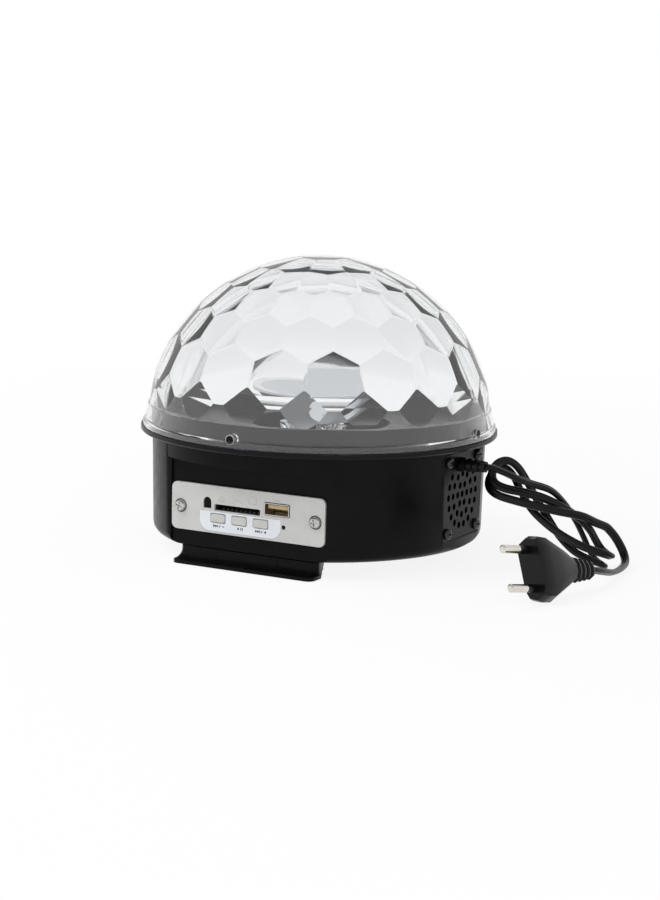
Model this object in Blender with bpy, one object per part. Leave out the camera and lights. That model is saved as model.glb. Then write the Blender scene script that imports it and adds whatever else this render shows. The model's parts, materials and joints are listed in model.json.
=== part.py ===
"""Disco light speaker: a round speaker housing under a clear faceted dome, with its mains lead.

The origin is on the floor under the middle of the housing, +Z is up and the front panel faces -Y.
Every length is in metres and every angle in degrees.
"""

import math

import bmesh
import bpy
import numpy as np
from mathutils import Euler, Matrix, Vector

# Fits and cuts
FIT = 0.0003
OVERRUN = 0.001
WELD = 0.000001

# Sides of the round pieces
BODY_SIDES = 40
DOME_SIDES = 72
SMALL_SIDES = 8
SPEAKER_SIDES = 16
SCREW_SIDES = 8
HOLE_SIDES = 8

# Feet: two inverted trays, narrower behind, each with a lip that runs out from its outer face
FOOT_HEIGHT = 0.0078
FOOT_WIDTH = 0.0772
FOOT_BACK_WIDTH = 0.063
FOOT_DEPTH = 0.0226
FOOT_STRAIGHT = 0.003
FOOT_CORNER = 0.0024
FOOT_WALL = 0.0016
FOOT_FLARE = 0.0071
FOOT_FLARE_HEIGHT = 0.0043
FOOT_SPREAD = 0.001
FOOT_LIP = 0.0018
FOOT_FRONT = 0.0704
FOOT_GUSSET = 0.001
FOOT_GUSSET_PLACE = 0.0173
FOOT_GUSSET_REACH = 0.0038
FOOT_GUSSET_TOP = 0.0051

# Housing: a moulded round bowl, cut flat at the front, the rear and both sides
HOUSING_HEIGHT = 0.0518
HOUSING_BOTTOM_RADIUS = 0.0842
HOUSING_TOP_RADIUS = 0.0851
HOUSING_WALL = 0.0022
HOUSING_EDGE = 0.005
FRONT_FLAT = 0.071
FRONT_LEDGE_DROP = 0.008
FRONT_BEZEL = 0.0013
FRONT_RECESS = 0.0012
SIDE_FLAT = 0.0817
SIDE_LEDGE_DROP = 0.0016
HOUSING_BOTTOM = FOOT_HEIGHT + FIT
HOUSING_FLOOR = HOUSING_BOTTOM + HOUSING_WALL
HOUSING_TOP = HOUSING_BOTTOM + HOUSING_HEIGHT
OUTSIDE = HOUSING_TOP_RADIUS * 2
FRONT_WALL = FRONT_FLAT - FRONT_RECESS
FRONT_INSIDE = FRONT_WALL - HOUSING_WALL

# Lamp deck: the black tray that closes the housing and carries the lights and the dome
DECK_FLANGE = 0.0026
DECK_RADIUS = 0.091
DECK_PLATE = 0.002
DECK_RING_DEPTH = 0.0042
DECK_RING_WALL = 0.002
UPSTAND_RADIUS = 0.0848
UPSTAND_HEIGHT = 0.011
UPSTAND_WALL = 0.002
WELL_RADIUS = 0.036
WELL_DEPTH = 0.0128
WELL_WALL = 0.002
POST_RADIUS = 0.0036
POST_ACROSS = 0.028
POST_BACK = 0.0525
POST_BORE_DEPTH = 0.014
DECK_BOTTOM = HOUSING_TOP + FIT
DECK_TOP = DECK_BOTTOM + DECK_FLANGE
WELL_FLOOR = DECK_TOP + DECK_PLATE - WELL_DEPTH

# Screws: pan heads with a plain shank
SCREW_SHANK = 0.00125
SCREW_HEAD = 0.0028
SCREW_HEAD_HEIGHT = 0.0018
BASE_SCREW_LENGTH = 0.017
PANEL_SCREW_LENGTH = 0.0065
GRILLE_SCREW_LENGTH = 0.0045

# Dome: smooth outside with a skirt and a rim, and flat facets in staggered rings on its inside
DOME_RIM_RADIUS = 0.09
DOME_RIM_HEIGHT = 0.0032
DOME_SKIRT_BOTTOM = 0.089
DOME_SKIRT_TOP = 0.0875
DOME_SKIRT_HEIGHT = 0.0108
DOME_STEP = 0.0005
DOME_WALL = 0.0021
DOME_RADIUS = 0.0889
DOME_CENTRE_DROP = 0.0024
DOME_SHOULDER_RADIUS = 0.0854
DOME_SHOULDER = 0.0212
FACETS_PER_RING = 18
FACET_TURN = 23.255
# Each ring of facets: its tilt from the horizon, its turn in shares of a facet and its depth
FACET_RINGS = [
    (13.74, 0.0, 0.00121),
    (24.48, 0.5, 0.00177),
    (38.79, 0.0, 0.00141),
    (50.53, 0.5, 0.00119),
    (63.37, 0.0, 0.00101),
]
CROWN_TILT = 75.0
CROWN_DEPTH = 0.001
CAP_DEPTH = 0.0009
DOME_STEPS = 7
DOME_PEG_RADIUS = 0.0025
DOME_PEG_HEIGHT = 0.0037
DOME_PEG_REACH = 0.0014
DOME_PEGS = 4
DOME_BOTTOM = DECK_TOP + FIT
DOME_CENTRE = DOME_BOTTOM - DOME_CENTRE_DROP

# Front panel: a silver plate with its openings, the buttons and the sockets behind it
PANEL_WIDTH = 0.0864
PANEL_HEIGHT = 0.0237
PANEL_THICKNESS = 0.0015
PANEL_CORNER = 0.003
PANEL_CENTRE = 0.02805
PANEL_WINDOW_WIDTH = 0.066
PANEL_WINDOW_HEIGHT = 0.0205
PANEL_SCREW_PLACE = 0.038
PANEL_BACK = FRONT_WALL + FIT
PANEL_FACE = PANEL_BACK + PANEL_THICKNESS
BUTTON_WIDTH = 0.0085
BUTTON_HEIGHT = 0.0049
BUTTON_CORNER = 0.0006
BUTTON_PROUD = 0.0006
BUTTON_FLANGE = 0.00075
BUTTON_FLANGE_THICKNESS = 0.0008
BUTTON_TRAVEL = 0.0008
BUTTON_STEM_RADIUS = 0.0014
BUTTON_DROP = 0.0046
BUTTON_SPACING = 0.0124
BUTTON_MIDDLE = -0.0054
CARD_SLOT_WIDTH = 0.026
CARD_SLOT_HEIGHT = 0.0031
CARD_SLOT_PLACE = -0.0057
CARD_SLOT_RISE = 0.0012
CARD_CAVITY_WIDTH = 0.0246
CARD_CAVITY_HEIGHT = 0.0025
CARD_WALL = 0.0009
CARD_STANDBACK = 0.0003
USB_WIDTH = 0.0139
USB_HEIGHT = 0.006
USB_WALL = 0.0004
USB_PLACE = 0.0167
USB_RISE = 0.0037
USB_PROUD = 0.0004
USB_TONGUE_WIDTH = 0.0111
USB_TONGUE_THICKNESS = 0.0018
USB_TONGUE_RISE = 0.0011
USB_TONGUE_SETBACK = 0.0012
USB_BLOCK_DEPTH = 0.003
RECEIVER_WIDTH = 0.0039
RECEIVER_HEIGHT = 0.005
RECEIVER_PLACE = -0.0227
RECEIVER_RISE = 0.0031
RECEIVER_BODY = 0.0064
RECEIVER_DEPTH = 0.0042
LED_RADIUS = 0.001
LED_FLANGE = 0.0014
LED_LENGTH = 0.005
LED_PROUD = 0.0002
LED_PLACE = 0.0202
LED_DROP = 0.0049
LEG_WIDTH = 0.0005
LEG_SPACING = 0.00127

# Control board: behind the front panel, on bosses of the front wall
BOARD_WIDTH = 0.076
BOARD_HEIGHT = 0.024
BOARD_THICKNESS = 0.0016
BOARD_FRONT = 0.0584
BOSS_RADIUS = 0.0018
BOSS_PLACE = 0.0354
BOSS_RISE = 0.0085
SWITCH_WIDTH = 0.006
SWITCH_HEIGHT = 0.0035

# Speakers: one behind each side grille, low enough to leave room for the cord outlet
GRILLE_WIDTH = 0.042
GRILLE_HEIGHT = 0.043
GRILLE_THICKNESS = 0.0015
GRILLE_CENTRE = 0.036
GRILLE_CORNER = 0.001
GRILLE_HOLE = 0.0017
GRILLE_RING = 0.0052
GRILLE_RINGS = 3
GRILLE_SCREW_ACROSS = 0.0165
GRILLE_SCREW_UP = 0.0178
SPEAKER_RADIUS = 0.0142
SPEAKER_CENTRE = 0.0315
SPEAKER_FLANGE = 0.0012
SPEAKER_RIM = 0.0026
SPEAKER_STRAIGHT = 0.0018
SPEAKER_DEPTH = 0.0085
SPEAKER_SEAT = 0.0062
SPEAKER_BORE = 0.004
SPEAKER_SHEET = 0.001
SPEAKER_WINDOW = 0.005
MAGNET_RADIUS = 0.009
MAGNET_DEPTH = 0.005
CONE_SETBACK = 0.0004
CONE_SHEET = 0.0007
CONE_DEPTH = 0.0039
CONE_NECK = 0.0032
CONE_NECK_LENGTH = 0.0008
SIDE_SEAT = SIDE_FLAT - GRILLE_THICKNESS - FIT
SIDE_INSIDE = SIDE_SEAT - HOUSING_WALL

# Lights: three emitters with collimators on a round board, under a turning reflector
LED_BOARD_RADIUS = 0.031
LED_BOARD_BORE = 0.006
LED_BOARD_THICKNESS = 0.0016
EMITTERS = 3
EMITTER_PLACE = 0.014
EMITTER_WIDTH = 0.005
EMITTER_HEIGHT = 0.0016
COLLIMATOR_BASE = 0.0032
COLLIMATOR_TOP = 0.0065
COLLIMATOR_HEIGHT = 0.0085
MOTOR_RADIUS = 0.012
MOTOR_HEIGHT = 0.0135
MOTOR_EDGE = 0.0008
MOTOR_BOSS = 0.004
SHAFT_RADIUS = 0.0015
SHAFT_DEPTH = 0.006
REFLECTOR_BOTTOM = 0.018
REFLECTOR_TOP = 0.027
REFLECTOR_HEIGHT = 0.018
REFLECTOR_LIFT = 0.0014
REFLECTOR_SHEET = 0.0009
REFLECTOR_WINDOW = 0.0046
REFLECTOR_WINDOWS = 6
REFLECTOR_TURN = 24.0
REFLECTOR_PORT = 0.005
REFLECTOR_PORT_PLACE = 0.011
HUB_RADIUS = 0.004
HUB_HEIGHT = 0.007
HUB_SOCKET = 0.005

# Power board on bosses of the housing floor
POWER_WIDTH = 0.092
POWER_DEPTH = 0.056
POWER_THICKNESS = 0.0016
POWER_BOSS_HEIGHT = 0.0035
POWER_BOSS_INSET = 0.005
TRANSFORMER_WIDTH = 0.026
TRANSFORMER_DEPTH = 0.022
TRANSFORMER_CORE = 0.006
TRANSFORMER_HEIGHT = 0.018
TRANSFORMER_INSET = 0.02
TRANSFORMER_PLACE = TRANSFORMER_INSET - POWER_WIDTH / 2
TRANSFORMER_BOBBIN = 0.003

# Mains lead: a flat twin cord, drawn round, with a moulded relief at the outlet
CORD_DIAMETER = 0.0042
OUTLET_ACROSS = -0.003
OUTLET_HEIGHT = 0.0513
RELIEF_NECK = 0.003
RELIEF_FLANGE = 0.004
RELIEF_FLANGE_THICKNESS = 0.0015
RELIEF_BASE = 0.0037
RELIEF_TIP = 0.0027
RELIEF_LENGTH = 0.0137
RELIEF_GROOVES = 3
RELIEF_GROOVE = 0.0006
RELIEF_GROOVE_WIDTH = 0.0012
RELIEF_END = SIDE_FLAT + FIT + RELIEF_LENGTH

# The hank: its middle line, its turns and the twist along it
HANK_LINE = [
    (0.0950, 0.0075, 0.0488),
    (0.1130, 0.0125, 0.0390),
    (0.1370, 0.0230, 0.0160),
    (0.1480, 0.0310, 0.0062),
]
HANK_POINTS_PER_TURN = 24
HANK_START = 62.0
HANK_TURNS = 2.16
HANK_BULGE = 0.0215
HANK_WAIST_SHARE = 0.74
HANK_STEP = 0.0056
HANK_LEAN = -36.0
HANK_TWIST = 216.0

# Route of the lead between the relief and the hank, and of the tail between the hank and the plug
LEAD_ROUTE = [
    (0.1008, -0.0030, 0.0509),
    (0.1048, -0.0024, 0.0497),
]
TAIL_ROUTE = [
    (0.1472, 0.0425, 0.0145),
    (0.1510, 0.0440, 0.0075),
    (0.1545, 0.0385, 0.0034),
    (0.1568, 0.0270, 0.0026),
    (0.1584, 0.0120, 0.0036),
    (0.1588, -0.0020, 0.0066),
]
ROUTE_STEP = 0.0033

# Plug: flat two-pin body that tapers to a ribbed neck, lying with its lowest corner on the floor
PLUG_PLACE = (0.1444, -0.0556)
PLUG_HEADING = -106.4
PLUG_PITCH = 8.74
PLUG_ROLL = 24.45
PLUG_WIDTH = 0.0318
PLUG_FACE_WIDTH = 0.0298
PLUG_THICKNESS = 0.0137
PLUG_FACE_THICKNESS = 0.0125
PLUG_CORNER_SHARE = 0.48
PLUG_FACE_DEPTH = 0.0025
PLUG_SHOULDER = 0.0085
PLUG_BODY = 0.0265
PLUG_LENGTH = 0.0433
NECK_WIDTH = 0.0137
NECK_THICKNESS = 0.0105
NECK_END_WIDTH = 0.0085
NECK_END_THICKNESS = 0.0075
NECK_RIBS = 4
NECK_GROOVE = 0.0009
NECK_RIB_SHARES = (0, 0.15, 0.5, 0.65)
PIN_RADIUS = 0.002
PIN_CORE = 0.0012
PIN_LENGTH = 0.019
PIN_SLEEVE = 0.007
PIN_SPACING = 0.0186
PIN_ROOT = 0.006
PIN_TIP = 0.0008

# Colours, roughness and metallic value of each finish
FINISHES = {
    "black_plastic": ((0.018, 0.018, 0.020), 0.32, 0.0),
    "dark_deck": ((0.030, 0.030, 0.034), 0.45, 0.0),
    "clear_plastic": ((0.92, 0.94, 0.96), 0.05, 0.0),
    "silver_panel": ((0.60, 0.61, 0.63), 0.38, 0.6),
    "grey_button": ((0.42, 0.43, 0.45), 0.40, 0.0),
    "steel": ((0.62, 0.61, 0.58), 0.28, 1.0),
    "nickel": ((0.74, 0.70, 0.62), 0.25, 1.0),
    "tan_plastic": ((0.62, 0.46, 0.22), 0.45, 0.0),
    "board_green": ((0.03, 0.16, 0.07), 0.50, 0.0),
    "dark_glass": ((0.01, 0.01, 0.012), 0.10, 0.0),
    "white_led": ((0.90, 0.90, 0.86), 0.20, 0.0),
    "aluminium": ((0.75, 0.76, 0.78), 0.30, 1.0),
    "mirror_silver": ((0.88, 0.88, 0.90), 0.08, 1.0),
    "yellow_emitter": ((0.80, 0.66, 0.15), 0.40, 0.0),
    "paper_cone": ((0.05, 0.05, 0.055), 0.80, 0.0),
    "ferrite": ((0.06, 0.06, 0.065), 0.60, 0.0),
    "copper_winding": ((0.50, 0.26, 0.10), 0.40, 0.6),
    "cord_black": ((0.020, 0.020, 0.022), 0.40, 0.0),
}

FRONT = 0.0
RIGHT = 90.0
REAR = 180.0
LEFT = -90.0


# Scene and finishes


def clear_scene():
    for thing in list(bpy.data.objects):
        bpy.data.objects.remove(thing)


def finish(name):
    """The Principled material of this name, made once."""
    if name in bpy.data.materials:
        return bpy.data.materials[name]
    colour, roughness, metallic = FINISHES[name]
    made = bpy.data.materials.new(name)
    made.use_nodes = True
    surface = made.node_tree.nodes["Principled BSDF"]
    surface.inputs["Base Color"].default_value = (*colour, 1.0)
    surface.inputs["Roughness"].default_value = roughness
    surface.inputs["Metallic"].default_value = metallic
    return made


# Solids


def as_object(name, bm, material="black_plastic"):
    """An object of this closed mesh, its faces turned outwards and its round faces smooth."""
    bmesh.ops.recalc_face_normals(bm, faces=bm.faces)
    mesh = bpy.data.meshes.new(name)
    bm.to_mesh(mesh)
    bm.free()
    thing = bpy.data.objects.new(name, mesh)
    bpy.context.scene.collection.objects.link(thing)
    mesh.materials.append(finish(material))
    return thing


def loft(name, rings, material="black_plastic", closed=False):
    """A solid through rings of as many points each, capped, or with its last ring meeting its first."""
    bm = bmesh.new()
    made = [[bm.verts.new(point) for point in ring] for ring in rings]
    pairs = list(zip(made, made[1:]))
    if closed:
        pairs.append((made[-1], made[0]))
    else:
        bm.faces.new(made[0])
        bm.faces.new(made[-1])
    for lower, upper in pairs:
        for k in range(len(lower)):
            follow = (k + 1) % len(lower)
            bm.faces.new((lower[k], lower[follow], upper[follow], upper[k]))
    return as_object(name, bm, material)


def turned(name, profile, sides, material="black_plastic"):
    """A turned solid of a closed profile of (radius, height); a point of no radius is a pole."""
    bm = bmesh.new()
    rows = []
    for radius, height in profile:
        if radius == 0:
            rows.append([bm.verts.new((0, 0, height))])
            continue
        rows.append([bm.verts.new((*arm(radius, 360.0 * k / sides), height)) for k in range(sides)])
    for lower, upper in zip(rows, rows[1:] + rows[:1]):
        if len(lower) == 1 and len(upper) == 1:
            continue
        for k in range(sides):
            follow = (k + 1) % sides
            corners = [lower[k % len(lower)], lower[follow % len(lower)]]
            corners += [upper[follow % len(upper)], upper[k % len(upper)]]
            bm.faces.new(list(dict.fromkeys(corners)))
    return as_object(name, bm, material)


def arm(radius, degrees):
    """The point (x, y) at this radius and turn."""
    turn = math.radians(degrees)
    return radius * math.cos(turn), radius * math.sin(turn)


def arc(centre, radius, start, end, steps):
    """Points along an arc, both ends included."""
    points = []
    for k in range(steps + 1):
        across, along = arm(radius, start + (end - start) * k / steps)
        points.append((centre[0] + across, centre[1] + along))
    return points


def rounded(width, height, corner, steps=3):
    """The outline of a rectangle round its middle, with round corners."""
    across = width / 2 - corner
    along = height / 2 - corner
    outline = []
    for k, (side, end) in enumerate([(1, 1), (-1, 1), (-1, -1), (1, -1)]):
        outline += arc((side * across, end * along), corner, 90.0 * k, 90.0 * (k + 1), steps)
    return outline


def round_outline(radius, sides, start=0.0):
    return [arm(radius, start + 360.0 * k / sides) for k in range(sides)]


def prism(name, outline, bottom, top, material="black_plastic"):
    return loft(name, [[(x, y, z) for x, y in outline] for z in (bottom, top)], material)


def box(name, low, high, material="black_plastic"):
    corners = [(low[0], low[1]), (high[0], low[1]), (high[0], high[1]), (low[0], high[1])]
    return prism(name, corners, low[2], high[2], material)


def put(thing, place=(0, 0, 0), turn=None):
    """Places the object; a turn of FRONT, RIGHT, REAR or LEFT lays its +Z outwards on that side."""
    thing.location = place
    if turn is not None:
        thing.rotation_euler = Euler((math.radians(90.0), 0, math.radians(turn)))
    return thing


def outward(depth, turn, across=0, height=0):
    """The point at this depth out from the axis on a side, and at this place across its face."""
    face = Euler((math.radians(90.0), 0, math.radians(turn))).to_matrix()
    return face @ Vector((across, height, depth))


def combine(target, tool, operation):
    """Cuts or joins the tool into the target for good, and removes the tool."""
    modifier = target.modifiers.new(operation.lower(), "BOOLEAN")
    modifier.operation = operation
    modifier.solver = "EXACT"
    modifier.object = tool
    bpy.context.view_layer.update()
    graph = bpy.context.evaluated_depsgraph_get()
    result = bpy.data.meshes.new_from_object(target.evaluated_get(graph))
    before = target.data
    target.modifiers.clear()
    target.data = result
    result.name = target.name
    bpy.data.objects.remove(tool)
    bpy.data.meshes.remove(before)
    return target


def cut(target, tool):
    return combine(target, tool, "DIFFERENCE")


def join(target, tool):
    return combine(target, tool, "UNION")


def drill(target, place, turn, radius, near, far, sides=SMALL_SIDES):
    """A round hole square to a side, from one depth along its axis to the other."""
    return cut(target, put(prism("drill", round_outline(radius, sides), near, far), place, turn))


def shade(thing, degrees=35.0):
    thing.data.shade_smooth()
    thing.data.set_sharp_from_angle(angle=math.radians(degrees))
    return thing


# Screws


def screw(name, length, place, turn=None, upwards=False):
    """A pan-head screw with its head's seat at the origin and its shank along -Z."""
    profile = [(0, SCREW_HEAD_HEIGHT), (SCREW_HEAD * 2 / 3, SCREW_HEAD_HEIGHT)]
    profile += [(SCREW_HEAD, SCREW_HEAD_HEIGHT / 3), (SCREW_HEAD, 0), (SCREW_SHANK, 0)]
    profile += [(SCREW_SHANK, SCREW_SHANK - length), (0, -length)]
    made = turned(name, profile, SCREW_SIDES, "steel")
    put(made, place, turn)
    if upwards:
        made.rotation_euler = Euler((math.radians(180.0), 0, 0))
    return shade(made)


# Feet


def foot_ring(flare, inset, height):
    """The foot's outline at a height, run out by a share of its flare or set in by its wall."""
    wide = FOOT_WIDTH / 2 + FOOT_SPREAD * flare - inset
    narrow = FOOT_BACK_WIDTH / 2 - inset
    front = FOOT_DEPTH / 2 + FOOT_FLARE * flare - inset
    back = FOOT_DEPTH / 2 - inset
    corner = FOOT_CORNER + FOOT_SPREAD * flare - inset
    bend = FOOT_STRAIGHT - FOOT_DEPTH / 2
    outline = arc((corner - wide, corner - front), corner, 180.0, 270.0, 3)
    outline += arc((wide - corner, corner - front), corner, 270.0, 360.0, 3)
    outline.append((wide, bend))
    outline += arc((narrow - corner, back - corner), corner, 0.0, 90.0, 3)
    outline += arc((corner - narrow, back - corner), corner, 90.0, 180.0, 3)
    outline.append((-wide, bend))
    return [(x, y, height) for x, y in outline]


def foot(name, side):
    """An inverted tray: open below, with a concave flare that runs out into a flat lip."""
    rings = [foot_ring(0, 0, FOOT_HEIGHT)]
    for flare, rise in arc((1, 1), 1, 180.0, 260.0, 4):
        rings.append(foot_ring(flare, 0, FOOT_LIP + FOOT_FLARE_HEIGHT * rise))
    rings += [foot_ring(1, 0, FOOT_LIP), foot_ring(1, 0, 0), foot_ring(0, FOOT_WALL, 0)]
    rings += [foot_ring(0, FOOT_WALL, FOOT_HEIGHT - FOOT_WALL)]
    made = loft(name, rings)
    wall = -FOOT_DEPTH / 2
    for place in (-FOOT_GUSSET_PLACE, FOOT_GUSSET_PLACE):
        left, right = place - FOOT_GUSSET / 2, place + FOOT_GUSSET / 2
        sloped = []
        for reach, height in ((FOOT_GUSSET_REACH, FOOT_LIP / 2), (FIT, FOOT_GUSSET_TOP)):
            front = [(left, wall - reach, height), (right, wall - reach, height)]
            behind = [(right, wall + FOOT_WALL / 2, height), (left, wall + FOOT_WALL / 2, height)]
            sloped.append(front + behind)
        join(made, loft("gusset", sloped))
    seat = FOOT_FRONT - FOOT_DEPTH / 2
    for place in (-POST_ACROSS, POST_ACROSS):
        hole = (place, seat - POST_BACK, 0)
        bore = prism("bore", round_outline(SCREW_SHANK + FIT, SMALL_SIDES), 0, HOUSING_BOTTOM)
        cut(made, put(bore, hole))
    made.location = (0, side * seat, 0)
    if side > 0:
        made.rotation_euler = Euler((0, 0, math.radians(180.0)))
    return shade(made)


# Housing


def block(depth, top, turn):
    """A block outside a flat at this depth, up to this height."""
    outline = [(-OUTSIDE, -OUTSIDE), (OUTSIDE, -OUTSIDE), (OUTSIDE, top), (-OUTSIDE, top)]
    return put(prism("block", outline, depth, OUTSIDE), (0, 0, 0), turn)


def flatten(solid, front, front_top, side, side_top):
    for turn in (FRONT, REAR):
        cut(solid, block(front, front_top, turn))
    for turn in (RIGHT, LEFT):
        cut(solid, block(side, side_top, turn))
    return solid


def shell_profile(inset, bottom, top):
    """The housing's turned profile, set in by a wall, with its round bottom edge."""
    edge = HOUSING_EDGE - inset
    low = HOUSING_BOTTOM_RADIUS - inset - edge
    corner = arc((low, bottom + edge), edge, -90.0, 0.0, 4)
    return [(0, bottom), *corner, (HOUSING_TOP_RADIUS - inset, top), (0, top)]


def base_housing():
    front_top = HOUSING_TOP - FRONT_LEDGE_DROP
    side_top = HOUSING_TOP - SIDE_LEDGE_DROP
    made = turned("base_housing", shell_profile(0, HOUSING_BOTTOM, HOUSING_TOP), BODY_SIDES)
    flatten(made, FRONT_FLAT, front_top, SIDE_FLAT, side_top)
    above = HOUSING_TOP + OVERRUN
    inside = turned("inside", shell_profile(HOUSING_WALL, HOUSING_FLOOR, above), BODY_SIDES)
    flatten(inside, FRONT_INSIDE, front_top + HOUSING_WALL, SIDE_INSIDE, above + OVERRUN)
    cut(made, inside)
    chord = math.sqrt(HOUSING_BOTTOM_RADIUS**2 - FRONT_FLAT**2) - FRONT_BEZEL
    for turn in (FRONT, REAR):
        outline = [(-chord, 0), (chord, 0), (chord, front_top - FRONT_BEZEL)]
        outline.append((-chord, front_top - FRONT_BEZEL))
        cut(made, put(prism("recess", outline, FRONT_WALL, OUTSIDE), (0, 0, 0), turn))
    front_openings(made)
    side_openings(made)
    floor_bosses(made)
    return shade(made)


def front_openings(made):
    """The window behind the panel, its screw holes and the bosses of the control board."""
    window = rounded(PANEL_WINDOW_WIDTH, PANEL_WINDOW_HEIGHT, PANEL_CORNER)
    depths = (FRONT_INSIDE - OVERRUN, FRONT_WALL + OVERRUN)
    cut(made, put(prism("window", window, *depths), (0, 0, PANEL_CENTRE), FRONT))
    for side in (-1, 1):
        place = (side * PANEL_SCREW_PLACE, 0, PANEL_CENTRE)
        drill(made, place, FRONT, SCREW_SHANK + FIT, *depths)
        for end in (-1, 1):
            place = (side * BOSS_PLACE, 0, PANEL_CENTRE + end * BOSS_RISE)
            outline = round_outline(BOSS_RADIUS, SMALL_SIDES)
            inner = FRONT_INSIDE + HOUSING_WALL / 2
            join(made, put(prism("boss", outline, BOARD_FRONT + FIT, inner), place, FRONT))


def grille_screw_places():
    across = (-GRILLE_SCREW_ACROSS, GRILLE_SCREW_ACROSS)
    return [(x, GRILLE_CENTRE + z) for x in across for z in (-GRILLE_SCREW_UP, GRILLE_SCREW_UP)]


def side_openings(made):
    """On each side the seat of the grille, the speaker's hole and the screw holes."""
    seat = rounded(GRILLE_WIDTH + 2 * FIT, GRILLE_HEIGHT + 2 * FIT, GRILLE_CORNER, 2)
    opening = SPEAKER_RADIUS - SPEAKER_RIM
    through = (SIDE_INSIDE - OVERRUN, SIDE_FLAT + OVERRUN)
    for turn in (RIGHT, LEFT):
        pocket = prism("pocket", seat, SIDE_SEAT, OUTSIDE)
        cut(made, put(pocket, (0, 0, GRILLE_CENTRE), turn))
        drill(made, (0, 0, SPEAKER_CENTRE), turn, opening, *through, SPEAKER_SIDES)
        for across, height in grille_screw_places():
            drill(made, outward(0, turn, across, height), turn, SCREW_SHANK + FIT, *through)
    outlet = outward(0, RIGHT, OUTLET_ACROSS, OUTLET_HEIGHT)
    drill(made, outlet, RIGHT, RELIEF_NECK + FIT, *through)


def power_boss_places():
    across = POWER_WIDTH / 2 - POWER_BOSS_INSET
    along = POWER_DEPTH / 2 - POWER_BOSS_INSET
    return [(x, y) for x in (-across, across) for y in (-along, along)]


def post_places():
    return [(x, y) for x in (-POST_ACROSS, POST_ACROSS) for y in (-POST_BACK, POST_BACK)]


def floor_bosses(made):
    for x, y in power_boss_places():
        outline = round_outline(BOSS_RADIUS, SMALL_SIDES)
        low = HOUSING_FLOOR - HOUSING_WALL / 2
        boss = prism("boss", outline, low, HOUSING_FLOOR + POWER_BOSS_HEIGHT)
        join(made, put(boss, (x, y, 0)))
    for x, y in post_places():
        outline = round_outline(SCREW_SHANK + FIT, SMALL_SIDES)
        hole = prism("hole", outline, HOUSING_BOTTOM - OVERRUN, HOUSING_FLOOR + OVERRUN)
        cut(made, put(hole, (x, y, 0)))


# Lamp deck


def lamp_deck():
    """Flange, upstand, plate and lamp well in one turned wall, with a locating ring and four posts."""
    ring = HOUSING_TOP_RADIUS - HOUSING_WALL - FIT * 2
    plate_top = DECK_TOP + DECK_PLATE
    upstand_inside = UPSTAND_RADIUS - UPSTAND_WALL
    profile = [
        (0, WELL_FLOOR - WELL_WALL),
        (WELL_RADIUS + WELL_WALL, WELL_FLOOR - WELL_WALL),
        (WELL_RADIUS + WELL_WALL, DECK_TOP),
        (ring - DECK_RING_WALL * 2, DECK_TOP),
        (ring - DECK_RING_WALL * 2, DECK_BOTTOM),
        (DECK_RADIUS - DECK_FLANGE / 4, DECK_BOTTOM),
        (DECK_RADIUS, DECK_BOTTOM + DECK_FLANGE / 4),
        (DECK_RADIUS, DECK_TOP),
        (UPSTAND_RADIUS, DECK_TOP),
        (UPSTAND_RADIUS, DECK_TOP + UPSTAND_HEIGHT),
        (upstand_inside, DECK_TOP + UPSTAND_HEIGHT),
        (upstand_inside, plate_top),
        (WELL_RADIUS, plate_top),
        (WELL_RADIUS, WELL_FLOOR),
        (0, WELL_FLOOR),
    ]
    made = turned("lamp_deck", profile, BODY_SIDES, "dark_deck")
    join(made, locating_ring(ring))
    for x, y in post_places():
        deck_post(made, x, y)
    for k in range(DOME_PEGS):
        place = (0, 0, DOME_BOTTOM + DOME_PEG_HEIGHT)
        reach = (upstand_inside - OVERRUN, UPSTAND_RADIUS + OVERRUN)
        drill(made, place, 360.0 * k / DOME_PEGS, DOME_PEG_RADIUS + FIT, *reach)
    shaft = round_outline(SHAFT_RADIUS + FIT, SMALL_SIDES)
    cut(made, prism("shaft_hole", shaft, WELL_FLOOR - WELL_WALL - OVERRUN, WELL_FLOOR + OVERRUN))
    return shade(made)


def locating_ring(radius):
    """The ring that drops into the housing's mouth, cut flat with the housing's sides."""
    low = DECK_BOTTOM - DECK_RING_DEPTH
    high = DECK_BOTTOM + DECK_FLANGE / 2
    profile = [(radius, low), (radius, high)]
    profile += [(radius - DECK_RING_WALL, high), (radius - DECK_RING_WALL, low)]
    ring = turned("ring", profile, BODY_SIDES)
    for turn in (RIGHT, LEFT):
        cut(ring, block(SIDE_INSIDE - FIT, high + OVERRUN, turn))
    return ring


def deck_post(made, x, y):
    """A screw post down to the housing's floor, bored from below."""
    foot_of_post = HOUSING_FLOOR + FIT
    outline = round_outline(POST_RADIUS, SMALL_SIDES)
    join(made, put(prism("post", outline, foot_of_post, DECK_TOP + DECK_PLATE / 2), (x, y, 0)))
    bore = round_outline(SCREW_SHANK + FIT, SMALL_SIDES)
    top = foot_of_post + POST_BORE_DEPTH
    cut(made, put(prism("bore", bore, foot_of_post - OVERRUN, top), (x, y, 0)))


# Dome


def over_shoulder(inset):
    """The smooth profile from the skirt over the shoulder to the top, set in by a wall."""
    shoulder = DOME_BOTTOM + DOME_SHOULDER
    profile = [(DOME_SKIRT_TOP - DOME_STEP - inset, DOME_BOTTOM + DOME_SKIRT_HEIGHT)]
    profile.append((DOME_SHOULDER_RADIUS - inset, shoulder))
    start = math.degrees(math.asin((shoulder - DOME_CENTRE) / DOME_RADIUS)) + 3.0
    for k in range(DOME_STEPS + 1):
        radius, height = arm(DOME_RADIUS - inset, start + (84.0 - start) * k / DOME_STEPS)
        profile.append((radius, DOME_CENTRE + height))
    profile.append((0, DOME_CENTRE + DOME_RADIUS - inset))
    return profile


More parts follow.
